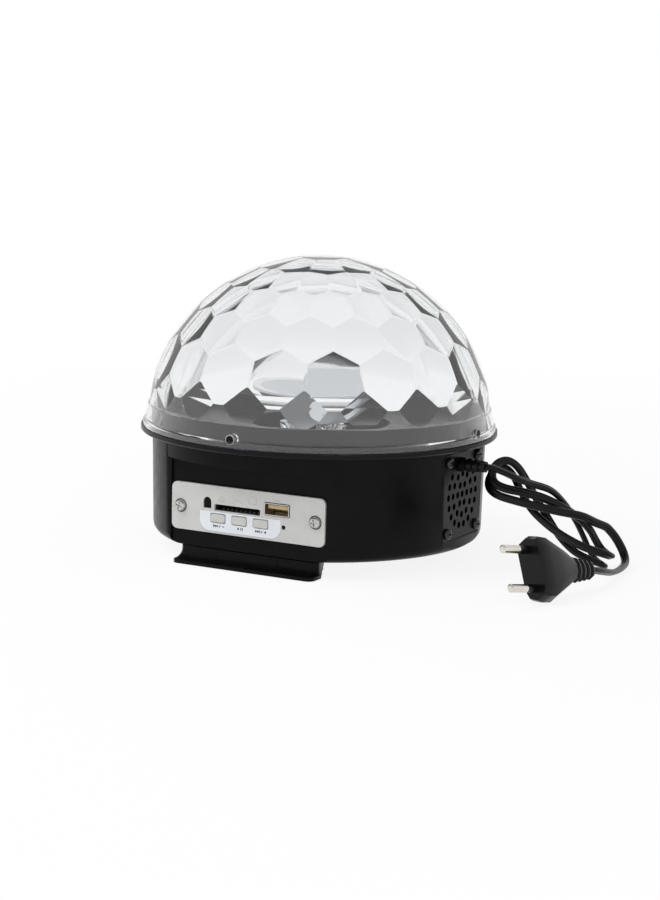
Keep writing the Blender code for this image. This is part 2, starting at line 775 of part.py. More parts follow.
def facet_planes():
    """Each flat inside the dome as its outward direction and its distance from the dome's centre."""
    inside = DOME_RADIUS - DOME_WALL
    step = 360.0 / FACETS_PER_RING
    first = FACET_TURN - 90.0
    planes = []
    for tilt, shift, depth in FACET_RINGS:
        for k in range(FACETS_PER_RING):
            planes.append((first + (k + shift) * step, tilt, inside - depth))
    for k in range(FACETS_PER_RING // 2):
        planes.append((first + (2 * k + 1 / 2) * step, CROWN_TILT, inside - CROWN_DEPTH))
    planes.append((0.0, 90.0, inside - CAP_DEPTH))
    return planes


def cut_facets(solid):
    """Slices the solid along every facet plane and closes each slice with one flat face."""
    bm = bmesh.new()
    bm.from_mesh(solid.data)
    centre = Vector((0, 0, DOME_CENTRE))
    for turn, tilt, distance in facet_planes():
        level, rise = arm(1, tilt)
        direction = Vector((*arm(level, turn), rise))
        everything = bm.verts[:] + bm.edges[:] + bm.faces[:]
        sliced = bmesh.ops.bisect_plane(
            bm,
            geom=everything,
            dist=WELD / 10,
            plane_co=centre + direction * distance,
            plane_no=direction,
            clear_outer=True,
        )
        edges = [e for e in sliced["geom_cut"] if isinstance(e, bmesh.types.BMEdge)]
        if edges:
            bmesh.ops.edgeloop_fill(bm, edges=edges)
    bm.to_mesh(solid.data)
    bm.free()
    weld(solid)


def dome_hollow():
    """The inside of the dome, one wall in from its smooth outside, with the facets on it."""
    below = DOME_BOTTOM - OVERRUN
    straight = DOME_SKIRT_BOTTOM - DOME_WALL
    profile = [(0, below), (straight, below), (straight, DOME_BOTTOM + DOME_RIM_HEIGHT)]
    made = turned("hollow", profile + over_shoulder(DOME_WALL), DOME_SIDES)
    cut_facets(made)
    return made


def dome():
    """A clear cover, smooth outside, whose flat facets are on its inside."""
    profile = [
        (0, DOME_BOTTOM),
        (DOME_RIM_RADIUS, DOME_BOTTOM),
        (DOME_RIM_RADIUS, DOME_BOTTOM + DOME_RIM_HEIGHT * 3 / 4),
        (DOME_SKIRT_BOTTOM, DOME_BOTTOM + DOME_RIM_HEIGHT),
        (DOME_SKIRT_TOP, DOME_BOTTOM + DOME_SKIRT_HEIGHT),
    ]
    made = turned("dome", profile + over_shoulder(0), DOME_SIDES, "clear_plastic")
    cut(made, dome_hollow())
    near = UPSTAND_RADIUS - DOME_PEG_REACH
    far = DOME_SKIRT_TOP - DOME_WALL / 2
    for k in range(DOME_PEGS):
        peg = prism("peg", round_outline(DOME_PEG_RADIUS, SMALL_SIDES), near, far)
        place = (0, 0, DOME_BOTTOM + DOME_PEG_HEIGHT)
        join(made, put(peg, place, 360.0 * k / DOME_PEGS))
    weld(made)
    return shade(made, 2.0)


def weld(thing):
    """Merges the points that the cuts left all but on each other."""
    bm = bmesh.new()
    bm.from_mesh(thing.data)
    bmesh.ops.remove_doubles(bm, verts=bm.verts, dist=WELD)
    bm.to_mesh(thing.data)
    bm.free()


# Front panel and what looks out of it


def front_panel():
    outline = rounded(PANEL_WIDTH, PANEL_HEIGHT, PANEL_CORNER, 4)
    made = prism("front_panel", outline, PANEL_BACK, PANEL_FACE, "silver_panel")
    put(made, (0, 0, PANEL_CENTRE), FRONT)
    depths = (PANEL_BACK - OVERRUN, PANEL_FACE + OVERRUN)
    for place in button_places():
        hole = rounded(BUTTON_WIDTH + 2 * FIT, BUTTON_HEIGHT + 2 * FIT, BUTTON_CORNER, 1)
        cut(made, put(prism("hole", hole, *depths), (place, 0, button_height()), FRONT))
    slot = rounded(CARD_SLOT_WIDTH, CARD_SLOT_HEIGHT, CARD_SLOT_HEIGHT / 8, 1)
    slot_place = (CARD_SLOT_PLACE, 0, PANEL_CENTRE + CARD_SLOT_RISE)
    cut(made, put(prism("slot", slot, *depths), slot_place, FRONT))
    mouth = rounded(USB_WIDTH + 2 * FIT, USB_HEIGHT + 2 * FIT, USB_WALL, 1)
    mouth_place = (USB_PLACE, 0, PANEL_CENTRE + USB_RISE)
    cut(made, put(prism("mouth", mouth, *depths), mouth_place, FRONT))
    window = receiver_window(FIT)
    window_place = (RECEIVER_PLACE, 0, PANEL_CENTRE + RECEIVER_RISE)
    cut(made, put(prism("arch", window, *depths), window_place, FRONT))
    drill(made, (LED_PLACE, 0, PANEL_CENTRE - LED_DROP), FRONT, LED_RADIUS + FIT, *depths)
    for side in (-1, 1):
        place = (side * PANEL_SCREW_PLACE, 0, PANEL_CENTRE)
        drill(made, place, FRONT, SCREW_SHANK + FIT, *depths)
    return shade(made)


def receiver_window(growth):
    """A window with a round top, grown by a clearance."""
    half = RECEIVER_WIDTH / 2 + growth
    low = -RECEIVER_HEIGHT / 2 - growth
    top = arc((0, RECEIVER_HEIGHT / 2 - RECEIVER_WIDTH / 2), half, 0.0, 180.0, 6)
    return [(-half, low), (half, low), *top]


def button_places():
    return [BUTTON_MIDDLE + k * BUTTON_SPACING for k in (-1, 0, 1)]


def button_height():
    return PANEL_CENTRE - BUTTON_DROP


def button(name, across):
    """A cap through the panel, a flange behind it and a stem that ends short of its switch."""
    cap = rounded(BUTTON_WIDTH, BUTTON_HEIGHT, BUTTON_CORNER, 1)
    face = PANEL_FACE + BUTTON_PROUD
    back = PANEL_BACK - FIT
    made = loft(
        name,
        [
            [(x, y, back - BUTTON_FLANGE_THICKNESS / 2) for x, y in cap],
            [(x, y, face - BUTTON_CORNER / 2) for x, y in cap],
            [(x, y, face) for x, y in smaller(cap, BUTTON_CORNER / 2)],
        ],
        "grey_button",
    )
    flange = rounded(BUTTON_WIDTH + 2 * BUTTON_FLANGE, BUTTON_HEIGHT + 2 * BUTTON_FLANGE, BUTTON_CORNER, 1)
    join(made, prism("flange", flange, back - BUTTON_FLANGE_THICKNESS, back))
    stem = round_outline(BUTTON_STEM_RADIUS, SMALL_SIDES)
    end = BOARD_FRONT + SWITCH_HEIGHT + BUTTON_TRAVEL + FIT
    join(made, prism("stem", stem, end, back - BUTTON_FLANGE_THICKNESS / 2))
    put(made, (across, 0, button_height()), FRONT)
    return shade(made)


def smaller(outline, inset):
    """The outline drawn in by an inset on every side."""
    return [(x - math.copysign(inset, x), y - math.copysign(inset, y)) for x, y in outline]


def usb_socket():
    """A folded steel shell, open in front, closed behind."""
    outer = rounded(USB_WIDTH, USB_HEIGHT, USB_WALL, 1)
    inner = rounded(USB_WIDTH - 2 * USB_WALL, USB_HEIGHT - 2 * USB_WALL, USB_WALL / 2, 1)
    rear = BOARD_FRONT + FIT
    face = PANEL_FACE + USB_PROUD
    made = prism("usb_socket", outer, rear, face, "steel")
    cut(made, prism("cavity", inner, rear + USB_WALL, face + OVERRUN))
    return shade(put(made, (USB_PLACE, 0, PANEL_CENTRE + USB_RISE), FRONT))


def usb_tongue():
    """The insulator: a block in the back of the shell and the tongue that carries the contacts."""
    gap = 2 * USB_WALL + 2 * FIT
    plug = rounded(USB_WIDTH - gap, USB_HEIGHT - gap, USB_WALL / 2, 1)
    rear = BOARD_FRONT + 2 * FIT + USB_WALL
    made = prism("usb_tongue", plug, rear, rear + USB_BLOCK_DEPTH, "tan_plastic")
    half = USB_TONGUE_WIDTH / 2
    low = (-half, USB_TONGUE_RISE - USB_TONGUE_THICKNESS / 2, rear + USB_BLOCK_DEPTH / 2)
    high = (half, USB_TONGUE_RISE + USB_TONGUE_THICKNESS / 2, PANEL_FACE - USB_TONGUE_SETBACK)
    join(made, box("tongue", low, high))
    return shade(put(made, (USB_PLACE, 0, PANEL_CENTRE + USB_RISE), FRONT))


def card_socket():
    """A flat sleeve behind the card slot."""
    width = CARD_CAVITY_WIDTH + 2 * CARD_WALL
    height = CARD_CAVITY_HEIGHT + 2 * CARD_WALL
    rear = BOARD_FRONT + FIT
    face = PANEL_BACK - FIT - CARD_STANDBACK
    made = prism("card_socket", rounded(width, height, CARD_WALL / 2, 1), rear, face, "steel")
    cavity = rounded(CARD_CAVITY_WIDTH, CARD_CAVITY_HEIGHT, CARD_WALL / 3, 1)
    cut(made, prism("cavity", cavity, rear + CARD_WALL, face + OVERRUN))
    return shade(put(made, (CARD_SLOT_PLACE, 0, PANEL_CENTRE + CARD_SLOT_RISE), FRONT))


def legs(made, count, near, far):
    """Thin legs from the board to a component, side by side."""
    for k in range(count):
        middle = (k - (count - 1) / 2) * LEG_SPACING
        low = (middle - LEG_WIDTH / 2, -LEG_WIDTH / 2, near)
        join(made, box("leg", low, (middle + LEG_WIDTH / 2, LEG_WIDTH / 2, far)))


def ir_receiver():
    """A moulded receiver whose round-topped lens fills the panel's window."""
    half = RECEIVER_BODY / 2
    front = PANEL_BACK - FIT
    low = (-half, -half, front - RECEIVER_DEPTH)
    made = box("ir_receiver", low, (half, half, front), "dark_glass")
    lens = [(x, y) for x, y in receiver_window(0)]
    join(made, prism("lens", lens, front - RECEIVER_DEPTH / 2, PANEL_FACE - PANEL_THICKNESS / 3))
    legs(made, 3, BOARD_FRONT + FIT, front - RECEIVER_DEPTH + OVERRUN)
    return shade(put(made, (RECEIVER_PLACE, 0, PANEL_CENTRE + RECEIVER_RISE), FRONT))


def indicator_led():
    tip = PANEL_FACE + LED_PROUD
    top = arc((0, tip - LED_RADIUS), LED_RADIUS, 0.0, 70.0, 4)
    base = tip - LED_LENGTH
    rim = LED_FLANGE - LED_RADIUS
    profile = [(0, base), (LED_FLANGE, base), (LED_FLANGE, base + 2 * rim), (LED_RADIUS, base + 2 * rim)]
    made = turned("indicator_led", [*profile, *top, (0, tip)], SMALL_SIDES, "white_led")
    legs(made, 2, BOARD_FRONT + FIT, base + rim)
    return shade(put(made, (LED_PLACE, 0, PANEL_CENTRE - LED_DROP), FRONT))


def control_board():
    """The circuit board behind the panel with the three push switches on it."""
    outline = rounded(BOARD_WIDTH, BOARD_HEIGHT, BOSS_RADIUS, 1)
    made = prism("control_board", outline, BOARD_FRONT - BOARD_THICKNESS, BOARD_FRONT, "board_green")
    for place in button_places():
        half = SWITCH_WIDTH / 2
        low = (place - half, -BUTTON_DROP - half, BOARD_FRONT - BOARD_THICKNESS / 2)
        high = (place + half, -BUTTON_DROP + half, BOARD_FRONT + SWITCH_HEIGHT)
        join(made, box("switch", low, high))
    return put(made, (0, 0, PANEL_CENTRE), FRONT)


# Speakers and grilles


def grille(name, turn, outlet):
    """A flat plate with holes on three rings; one hole gives way to the cord outlet."""
    outline = rounded(GRILLE_WIDTH, GRILLE_HEIGHT, GRILLE_CORNER, 2)
    face = SIDE_SEAT + FIT + GRILLE_THICKNESS
    depths = (SIDE_SEAT + FIT, face)
    made = prism(name, outline, *depths)
    through = (SIDE_SEAT + FIT - OVERRUN, face + OVERRUN)
    rise = OUTLET_HEIGHT - GRILLE_CENTRE
    for x, y in grille_holes():
        free = math.dist((x, y), (OUTLET_ACROSS, rise)) > GRILLE_HOLE + RELIEF_BASE + FIT
        if free or not outlet:
            hole = prism("hole", round_outline(GRILLE_HOLE, HOLE_SIDES), *through)
            cut(made, put(hole, (x, y, 0)))
    for across, height in grille_screw_places():
        hole = prism("hole", round_outline(SCREW_SHANK + FIT, SMALL_SIDES), *through)
        cut(made, put(hole, (across, height - GRILLE_CENTRE, 0)))
    if outlet:
        hole = prism("outlet", round_outline(RELIEF_NECK + FIT, SMALL_SIDES), *through)
        cut(made, put(hole, (OUTLET_ACROSS, rise, 0)))
    return shade(put(made, (0, 0, GRILLE_CENTRE), turn))


def grille_holes():
    """The middle hole and six more on each further ring."""
    places = [(0, 0)]
    for ring in range(1, GRILLE_RINGS + 1):
        for k in range(6 * ring):
            places.append(arm(ring * GRILLE_RING, 60.0 * k / ring))
    return places


def speaker_basket(name, turn):
    """A pressed frame: a flat rim, a straight wall, a sloping wall with windows and a seat."""
    sheet = SPEAKER_SHEET
    mouth = SPEAKER_RADIUS - SPEAKER_RIM
    seat = -FIT - SPEAKER_DEPTH
    straight = -FIT - SPEAKER_FLANGE - SPEAKER_STRAIGHT
    profile = [
        (SPEAKER_RADIUS, -FIT),
        (mouth, -FIT),
        (mouth, straight),
        (SPEAKER_SEAT, seat + sheet),
        (SPEAKER_BORE, seat + sheet),
        (SPEAKER_BORE, seat),
        (SPEAKER_SEAT + sheet / 2, seat),
        (mouth + sheet, straight - sheet / 2),
        (mouth + sheet, -FIT - SPEAKER_FLANGE),
        (SPEAKER_RADIUS, -FIT - SPEAKER_FLANGE),
    ]
    made = turned(name, profile, SPEAKER_SIDES, "steel")
    reach = SPEAKER_RADIUS + OVERRUN
    for long, short in ((reach, SPEAKER_WINDOW / 2), (SPEAKER_WINDOW / 2, reach)):
        low = (-long, -short, seat + sheet * 3 / 2)
        window = box("window", low, (long, short, straight - sheet / 2))
        cut(made, window)
    return shade(put(made, outward(SIDE_INSIDE, turn, 0, SPEAKER_CENTRE), turn))


def speaker_magnet(name, turn):
    top = -FIT * 2 - SPEAKER_DEPTH
    edge = SPEAKER_SHEET / 2
    profile = [(0, top), (MAGNET_RADIUS - edge, top), (MAGNET_RADIUS, top - edge)]
    profile += [(MAGNET_RADIUS, top - MAGNET_DEPTH + edge), (MAGNET_RADIUS - edge, top - MAGNET_DEPTH)]
    made = turned(name, [*profile, (0, top - MAGNET_DEPTH)], SPEAKER_SIDES, "ferrite")
    return shade(put(made, outward(SIDE_INSIDE, turn, 0, SPEAKER_CENTRE), turn))


def speaker_cone(name, turn):
    """The cone with a half-round surround outside and a dust cap over its neck."""
    rim = SPEAKER_RADIUS - SPEAKER_RIM - FIT
    front = -FIT - CONE_SETBACK - CONE_SHEET
    roll = CONE_SHEET * 2
    neck = front - CONE_DEPTH
    profile = [
        (rim, front + CONE_SHEET / 2),
        (rim - roll / 2, front + CONE_SHEET),
        (rim - roll, front + CONE_SHEET / 2),
        (CONE_NECK + CONE_SHEET, neck + CONE_SHEET),
        (CONE_NECK / 2, neck + CONE_SHEET * 2),
        (0, neck + CONE_SHEET * 5 / 2),
        (0, neck + CONE_SHEET),
        (CONE_NECK - CONE_SHEET, neck + CONE_SHEET / 2),
        (CONE_NECK - CONE_SHEET, neck - CONE_NECK_LENGTH),
        (CONE_NECK, neck - CONE_NECK_LENGTH),
        (CONE_NECK, neck),
        (rim - roll, front - CONE_SHEET / 2),
        (rim, front - CONE_SHEET / 2),
    ]
    made = turned(name, profile, SPEAKER_SIDES, "paper_cone")
    return shade(put(made, outward(SIDE_INSIDE, turn, 0, SPEAKER_CENTRE), turn))


# Lights, motor and reflector


def led_board():
    low = WELL_FLOOR + FIT
    profile = [(LED_BOARD_BORE, low), (LED_BOARD_RADIUS, low)]
    profile += [(LED_BOARD_RADIUS, low + LED_BOARD_THICKNESS), (LED_BOARD_BORE, low + LED_BOARD_THICKNESS)]
    return shade(turned("led_board", profile, SPEAKER_SIDES, "aluminium"))


def emitter_places():
    return [arm(EMITTER_PLACE, 90.0 + 360.0 * k / EMITTERS) for k in range(EMITTERS)]


def led_emitter(name, x, y):
    """A square package with a low round lens."""
    low = WELL_FLOOR + 2 * FIT + LED_BOARD_THICKNESS
    half = EMITTER_WIDTH / 2
    made = box(name, (-half, -half, low), (half, half, low + EMITTER_HEIGHT / 2), "yellow_emitter")
    lens = [(0, low), (half * 4 / 5, low), (half * 4 / 5, low + EMITTER_HEIGHT / 2)]
    lens += [(half * 2 / 5, low + EMITTER_HEIGHT), (0, low + EMITTER_HEIGHT)]
    join(made, turned("lens", lens, SMALL_SIDES))
    return put(made, (x, y, 0))


def led_collimator(name, x, y):
    """A clear cup that widens upwards over its emitter."""
    low = WELL_FLOOR + 3 * FIT + LED_BOARD_THICKNESS + EMITTER_HEIGHT
    top = low + COLLIMATOR_HEIGHT
    profile = [
        (0, low),
        (COLLIMATOR_BASE, low),
        ((COLLIMATOR_BASE + COLLIMATOR_TOP) / 2, low + COLLIMATOR_HEIGHT / 3),
        (COLLIMATOR_TOP, top - COLLIMATOR_BASE / 4),
        (COLLIMATOR_TOP, top),
        (COLLIMATOR_BASE, top),
        (COLLIMATOR_BASE / 2, top - COLLIMATOR_HEIGHT / 3),
        (0, top - COLLIMATOR_HEIGHT / 3),
    ]
    made = turned(name, profile, SMALL_SIDES, "clear_plastic")
    return shade(put(made, (x, y, 0)))


def rotor_motor():
    """A round geared motor under the well's floor, with a bore for its shaft."""
    top = WELL_FLOOR - WELL_WALL - FIT
    bottom = top - MOTOR_HEIGHT
    bore = SHAFT_RADIUS + FIT
    depth = top - SHAFT_DEPTH - FIT
    profile = [
        (0, bottom - MOTOR_EDGE),
        (MOTOR_BOSS, bottom - MOTOR_EDGE),
        (MOTOR_BOSS, bottom),
        (MOTOR_RADIUS - MOTOR_EDGE, bottom),
        (MOTOR_RADIUS, bottom + MOTOR_EDGE),
        (MOTOR_RADIUS, top - MOTOR_EDGE),
        (MOTOR_RADIUS - MOTOR_EDGE, top),
        (bore, top),
        (bore, depth),
        (0, depth),
    ]
    return shade(turned("rotor_motor", profile, SPEAKER_SIDES, "steel"))


def reflector_bottom():
    return DECK_TOP + DECK_PLATE + REFLECTOR_LIFT


def rotor_shaft():
    """The shaft from inside the motor up into the reflector's hub."""
    low = WELL_FLOOR - WELL_WALL - FIT - SHAFT_DEPTH
    top = reflector_bottom() + HUB_SOCKET - FIT
    made = prism("rotor_shaft", round_outline(SHAFT_RADIUS, SMALL_SIDES), low, top, "steel")
    return shade(made)


def rotor_reflector():
    """A mirrored bowl with round windows in its wall, ports in its floor and a hub."""
    low = reflector_bottom()
    top = low + REFLECTOR_HEIGHT
    sheet = REFLECTOR_SHEET
    profile = [
        (0, low),
        (REFLECTOR_BOTTOM, low),
        (REFLECTOR_TOP, top - sheet),
        (REFLECTOR_TOP + sheet, top - sheet),
        (REFLECTOR_TOP + sheet, top),
        (REFLECTOR_TOP - sheet, top),
        (REFLECTOR_BOTTOM - sheet, low + sheet),
        (HUB_RADIUS, low + sheet),
        (HUB_RADIUS, low + HUB_HEIGHT),
        (0, low + HUB_HEIGHT),
    ]
    made = turned("rotor_reflector", profile, SPEAKER_SIDES * 3 // 2, "mirror_silver")
    middle = low + REFLECTOR_HEIGHT / 2
    for k in range(REFLECTOR_WINDOWS):
        turn = REFLECTOR_TURN + 360.0 * k / REFLECTOR_WINDOWS
        reach = (REFLECTOR_BOTTOM, REFLECTOR_TOP + OVERRUN)
        drill(made, (0, 0, middle), turn, REFLECTOR_WINDOW, *reach, SMALL_SIDES)
        port = prism("port", round_outline(REFLECTOR_PORT, SMALL_SIDES), low - OVERRUN, low + 2 * sheet)
        if k % 2 == 0:
            cut(made, put(port, (*arm(REFLECTOR_PORT_PLACE, turn), 0)))
        else:
            bpy.data.objects.remove(port)
    socket = round_outline(SHAFT_RADIUS + FIT, SMALL_SIDES)
    cut(made, prism("socket", socket, low - OVERRUN, low + HUB_SOCKET))
    return shade(made)


# Power board


def power_level():
    return HOUSING_FLOOR + POWER_BOSS_HEIGHT + FIT


def power_board():
    """The circuit board on the floor with its larger components."""
    low = power_level()
    outline = rounded(POWER_WIDTH, POWER_DEPTH, BOSS_RADIUS, 1)
    made = prism("power_board", outline, low, low + POWER_THICKNESS, "board_green")
    can = TRANSFORMER_BOBBIN * 3 / 2
    for x, y in ((POWER_WIDTH / 4, POWER_DEPTH / 4), (POWER_WIDTH * 3 / 8, -POWER_DEPTH / 8)):
        part = prism("can", round_outline(can, SMALL_SIDES), low, low + 3 * can)
        join(made, put(part, (x, y, 0)))
    return made


def power_transformer():
    """A laminated core with its bobbin, on the board."""
    low = power_level() + POWER_THICKNESS + FIT
    wide = TRANSFORMER_WIDTH / 2
    core = TRANSFORMER_CORE
    deep = TRANSFORMER_DEPTH / 2
    made = box("power_transformer", (-wide, -core, low), (wide, core, low + TRANSFORMER_HEIGHT), "ferrite")
    coil = wide - TRANSFORMER_BOBBIN
    bottom = low + TRANSFORMER_BOBBIN
    top = low + TRANSFORMER_HEIGHT - TRANSFORMER_BOBBIN
    join(made, box("winding", (-coil, -deep, bottom), (coil, deep, top)))
    return put(made, (TRANSFORMER_PLACE, 0, 0))


# Mains lead


def cord_strain_relief():
    """A flange inside the wall, a neck through it and a tapered sleeve with grooves outside."""
    inside = SIDE_INSIDE - FIT
    outside = SIDE_FLAT + FIT
    profile = [(0, inside - RELIEF_FLANGE_THICKNESS), (RELIEF_FLANGE, inside - RELIEF_FLANGE_THICKNESS)]
    profile += [(RELIEF_FLANGE, inside), (RELIEF_NECK, inside), (RELIEF_NECK, outside)]
    profile += [(RELIEF_BASE, outside)]
    pitch = RELIEF_LENGTH / (RELIEF_GROOVES + 1)
    for k in range(1, RELIEF_GROOVES + 1):
        radius = RELIEF_BASE + (RELIEF_TIP - RELIEF_BASE) * k / (RELIEF_GROOVES + 1)
        middle = outside + k * pitch
        half = RELIEF_GROOVE_WIDTH / 2
        profile += [(radius, middle - half), (radius - RELIEF_GROOVE, middle - half)]
        profile += [(radius - RELIEF_GROOVE, middle + half), (radius, middle + half)]
    profile += [(RELIEF_TIP, RELIEF_END), (0, RELIEF_END)]
    made = turned("cord_strain_relief", profile, SMALL_SIDES, "cord_black")
    return shade(put(made, outward(0, RIGHT, OUTLET_ACROSS, OUTLET_HEIGHT), RIGHT))


def hank_middle(share):
    """The point and the direction of the hank's middle line at this share of its length."""
    a, b, c, d = (Vector(point) for point in HANK_LINE)
    rest = 1 - share
    point = a * rest**3 + b * (3 * rest**2 * share) + c * (3 * rest * share**2) + d * share**3
    slope = (b - a) * (3 * rest**2) + (c - b) * (6 * rest * share) + (d - c) * (3 * share**2)
    return point, slope.normalized()


def hank_point(turn):
    """A point of the hank at this turn in degrees: long loops, drawn in at the waist and twisted."""
    angle = math.radians(turn)
    share = (1 - math.cos(angle)) / 2
    middle, along = hank_middle(share)
    level = along.cross(Vector((0, 0, 1))).normalized()
    rise = level.cross(along)
    lean = math.radians(HANK_LEAN + HANK_TWIST * share**2 * (3 - 2 * share))
    across = level * math.cos(lean) + rise * math.sin(lean)
    layer = across.cross(along)
    width = HANK_BULGE * math.sin(angle) * (1 - HANK_WAIST_SHARE * math.sin(angle) ** 2)
    wound = (turn - HANK_START) / (360.0 * HANK_TURNS)
    climb = HANK_STEP * HANK_TURNS * (1 / 2 - wound)
    return middle + across * width + layer * climb


def hank_points():
    """All the hank's points, with a short straight run at both ends."""
    count = round(HANK_TURNS * HANK_POINTS_PER_TURN)
    sweep = 360.0 * HANK_TURNS
    points = [hank_point(HANK_START + sweep * k / count) for k in range(count + 1)]
    first = (points[0] - points[1]).normalized() * CORD_DIAMETER
    last = (points[-1] - points[-2]).normalized() * CORD_DIAMETER
    return [points[0] + first, *points, points[-1] + last]


def least_gap(points, diameter):
    """The least clearance of a tube to itself, leaving out what lies within a few diameters."""
    line = np.array([tuple(point) for point in points])
    length = np.concatenate([[0], np.cumsum(np.linalg.norm(np.diff(line, axis=0), axis=1))])
    steps = np.linspace(0, length[-1], int(length[-1] / diameter * 4))
    fine = np.stack([np.interp(steps, length, line[:, k]) for k in range(3)], axis=1)
    apart = np.linalg.norm(fine[:, None] - fine[None], axis=2)
    far = np.abs(steps[:, None] - steps[None]) > 4 * diameter
    return apart[far].min() - diameter


def smooth_route(points, step):
    """Points at even steps along a smooth curve through the given ones."""
    line = [Vector(point) for point in points]
    ends = [line[0] * 2 - line[1], *line, line[-1] * 2 - line[-2]]
    dense = []
    for before, start, end, after in zip(ends, ends[1:], ends[2:], ends[3:]):
        for k in range(20):
            t = k / 20
            bend = (before * 2 - start * 5 + end * 4 - after) * t**2
            turn = (start * 3 - before - end * 3 + after) * t**3
            dense.append((start * 2 + (end - before) * t + bend + turn) / 2)
    dense.append(line[-1])
    path = np.array([tuple(point) for point in dense])
    length = np.concatenate([[0], np.cumsum(np.linalg.norm(np.diff(path, axis=0), axis=1))])
    count = max(2, round(length[-1] / step))
    places = np.linspace(0, length[-1], count + 1)
    return [Vector([np.interp(s, length, path[:, k]) for k in range(3)]) for s in places]


def tube(name, points, resolution):
    """A round tube through the points, with closed ends."""
    curve = bpy.data.curves.new(name, "CURVE")
    curve.dimensions = "3D"
    spline = curve.splines.new("POLY")
    spline.points.add(len(points) - 1)
    for knot, point in zip(spline.points, points):
        knot.co = (*point, 1.0)
    curve.bevel_depth = CORD_DIAMETER / 2
    curve.bevel_resolution = resolution
    curve.use_fill_caps = True
    curve.materials.append(finish("cord_black"))
    made = bpy.data.objects.new(name, curve)
    bpy.context.scene.collection.objects.link(made)
    return made


def joint_points(end, towards):
    """Two points just off an end, square to it: the tube starts there and runs straight."""
    return [end + towards * FIT, end + towards * (FIT + CORD_DIAMETER)]


def cord_lead(hank):
    outlet = outward(RELIEF_END, RIGHT, OUTLET_ACROSS, OUTLET_HEIGHT)
    leave = joint_points(outlet, Vector((1, 0, 0)))
    arrive = joint_points(hank[0], (hank[0] - hank[1]).normalized())
    route = smooth_route([*leave, *LEAD_ROUTE, *reversed(arrive)], ROUTE_STEP)
    return tube("cord_lead", route, 2)


def cord_tail(hank, neck, direction):
    leave = joint_points(hank[-1], (hank[-1] - hank[-2]).normalized())
    arrive = joint_points(neck, direction)
    route = smooth_route([*leave, *TAIL_ROUTE, *reversed(arrive)], ROUTE_STEP)
    return tube("cord_tail", route, 2)


# Plug


def plug_turn():
    """The plug's axes as a rotation: +Z along the pins, +X from the lower pin to the upper one."""
    heading = math.radians(PLUG_HEADING)
    pitch = math.radians(PLUG_PITCH)
    level = math.cos(pitch)
    pins = Vector((level * math.cos(heading), level * math.sin(heading), math.sin(pitch)))
    side = pins.cross(Vector((0, 0, 1))).normalized()
    upright = side.cross(pins)
    roll = math.radians(PLUG_ROLL)
    across = upright * math.cos(roll) + side * math.sin(roll)
    return Matrix((across, pins.cross(across), pins)).transposed()


def plug_sections():
    """The plug's outline at each distance behind its face: width, thickness and distance."""
    sections = [
        (PLUG_FACE_WIDTH, PLUG_FACE_THICKNESS, 0),
        (PLUG_WIDTH, PLUG_THICKNESS, PLUG_FACE_DEPTH),
        (PLUG_WIDTH, PLUG_THICKNESS, PLUG_SHOULDER),
        ((PLUG_WIDTH * 2 + NECK_WIDTH) / 3, PLUG_THICKNESS, (PLUG_SHOULDER * 2 + PLUG_BODY) / 3),
        ((PLUG_WIDTH + NECK_WIDTH * 2) / 3, (PLUG_THICKNESS + NECK_THICKNESS) / 2, PLUG_BODY * 4 / 5),
        (NECK_WIDTH, NECK_THICKNESS, PLUG_BODY),
    ]
    pitch = (PLUG_LENGTH - PLUG_BODY) / (NECK_RIBS + 1 / 2)
    for k in range(1, NECK_RIBS + 1):
        share = k / (NECK_RIBS + 1)
        width = NECK_WIDTH + (NECK_END_WIDTH - NECK_WIDTH) * share
        thickness = NECK_THICKNESS + (NECK_END_THICKNESS - NECK_THICKNESS) * share
        start = PLUG_BODY + (k - 1 / 2) * pitch
        for inset, place in zip((0, NECK_GROOVE, NECK_GROOVE, 0), NECK_RIB_SHARES):
            sections.append((width - 2 * inset, thickness - 2 * inset, start + place * pitch))
    sections.append((NECK_END_WIDTH, NECK_END_THICKNESS, PLUG_LENGTH))
    return sections


def pin_places():
    return [(side * PIN_SPACING / 2, 0) for side in (-1, 1)]


def plug_body():
    """A lofted body with a ribbed neck, and a sleeve round the root of each pin."""
    rings = []
    for width, thickness, behind in plug_sections():
        outline = rounded(width, thickness, thickness * PLUG_CORNER_SHARE, 2)
        rings.append([(x, y, -behind) for x, y in outline])
    made = loft("plug_body", rings, "cord_black")
    for x, y in pin_places():
        sleeve = prism("sleeve", round_outline(PIN_RADIUS, SMALL_SIDES), -OVERRUN, PIN_SLEEVE)
        join(made, put(sleeve, (x, y, 0)))
        bore = round_outline(PIN_CORE + FIT, SMALL_SIDES)
        cut(made, put(prism("bore", bore, -PIN_ROOT - FIT, PIN_SLEEVE + OVERRUN), (x, y, 0)))
    return made


def plug_pin(name, x, y):
    """A round pin with a thinner core inside its sleeve."""
    front = PIN_SLEEVE + FIT
    profile = [(0, -PIN_ROOT), (PIN_CORE, -PIN_ROOT), (PIN_CORE, front), (PIN_RADIUS, front)]
    profile += [(PIN_RADIUS, PIN_LENGTH - PIN_TIP), (PIN_RADIUS - PIN_TIP, PIN_LENGTH), (0, PIN_LENGTH)]
    made = turned(name, profile, SMALL_SIDES, "nickel")
    made.data.transform(Matrix.Translation((x, y, 0)))
    return made


def plug():
    """The plug and its pins, turned as they lie and let down until the plug rests on the floor."""
    pieces = [plug_body()]
    for name, (x, y) in zip(("plug_pin_lower", "plug_pin_upper"), pin_places()):
        pieces.append(plug_pin(name, x, y))
    turn = plug_turn()
    lowest = min((turn @ corner.co).z for piece in pieces for corner in piece.data.vertices)
    place = Vector((*PLUG_PLACE, -lowest))
    for piece in pieces:
        piece.rotation_euler = turn.to_euler()
        piece.location = place
        shade(piece)
    behind = turn @ Vector((0, 0, -1))
    return place + behind * PLUG_LENGTH, behind


# The whole object


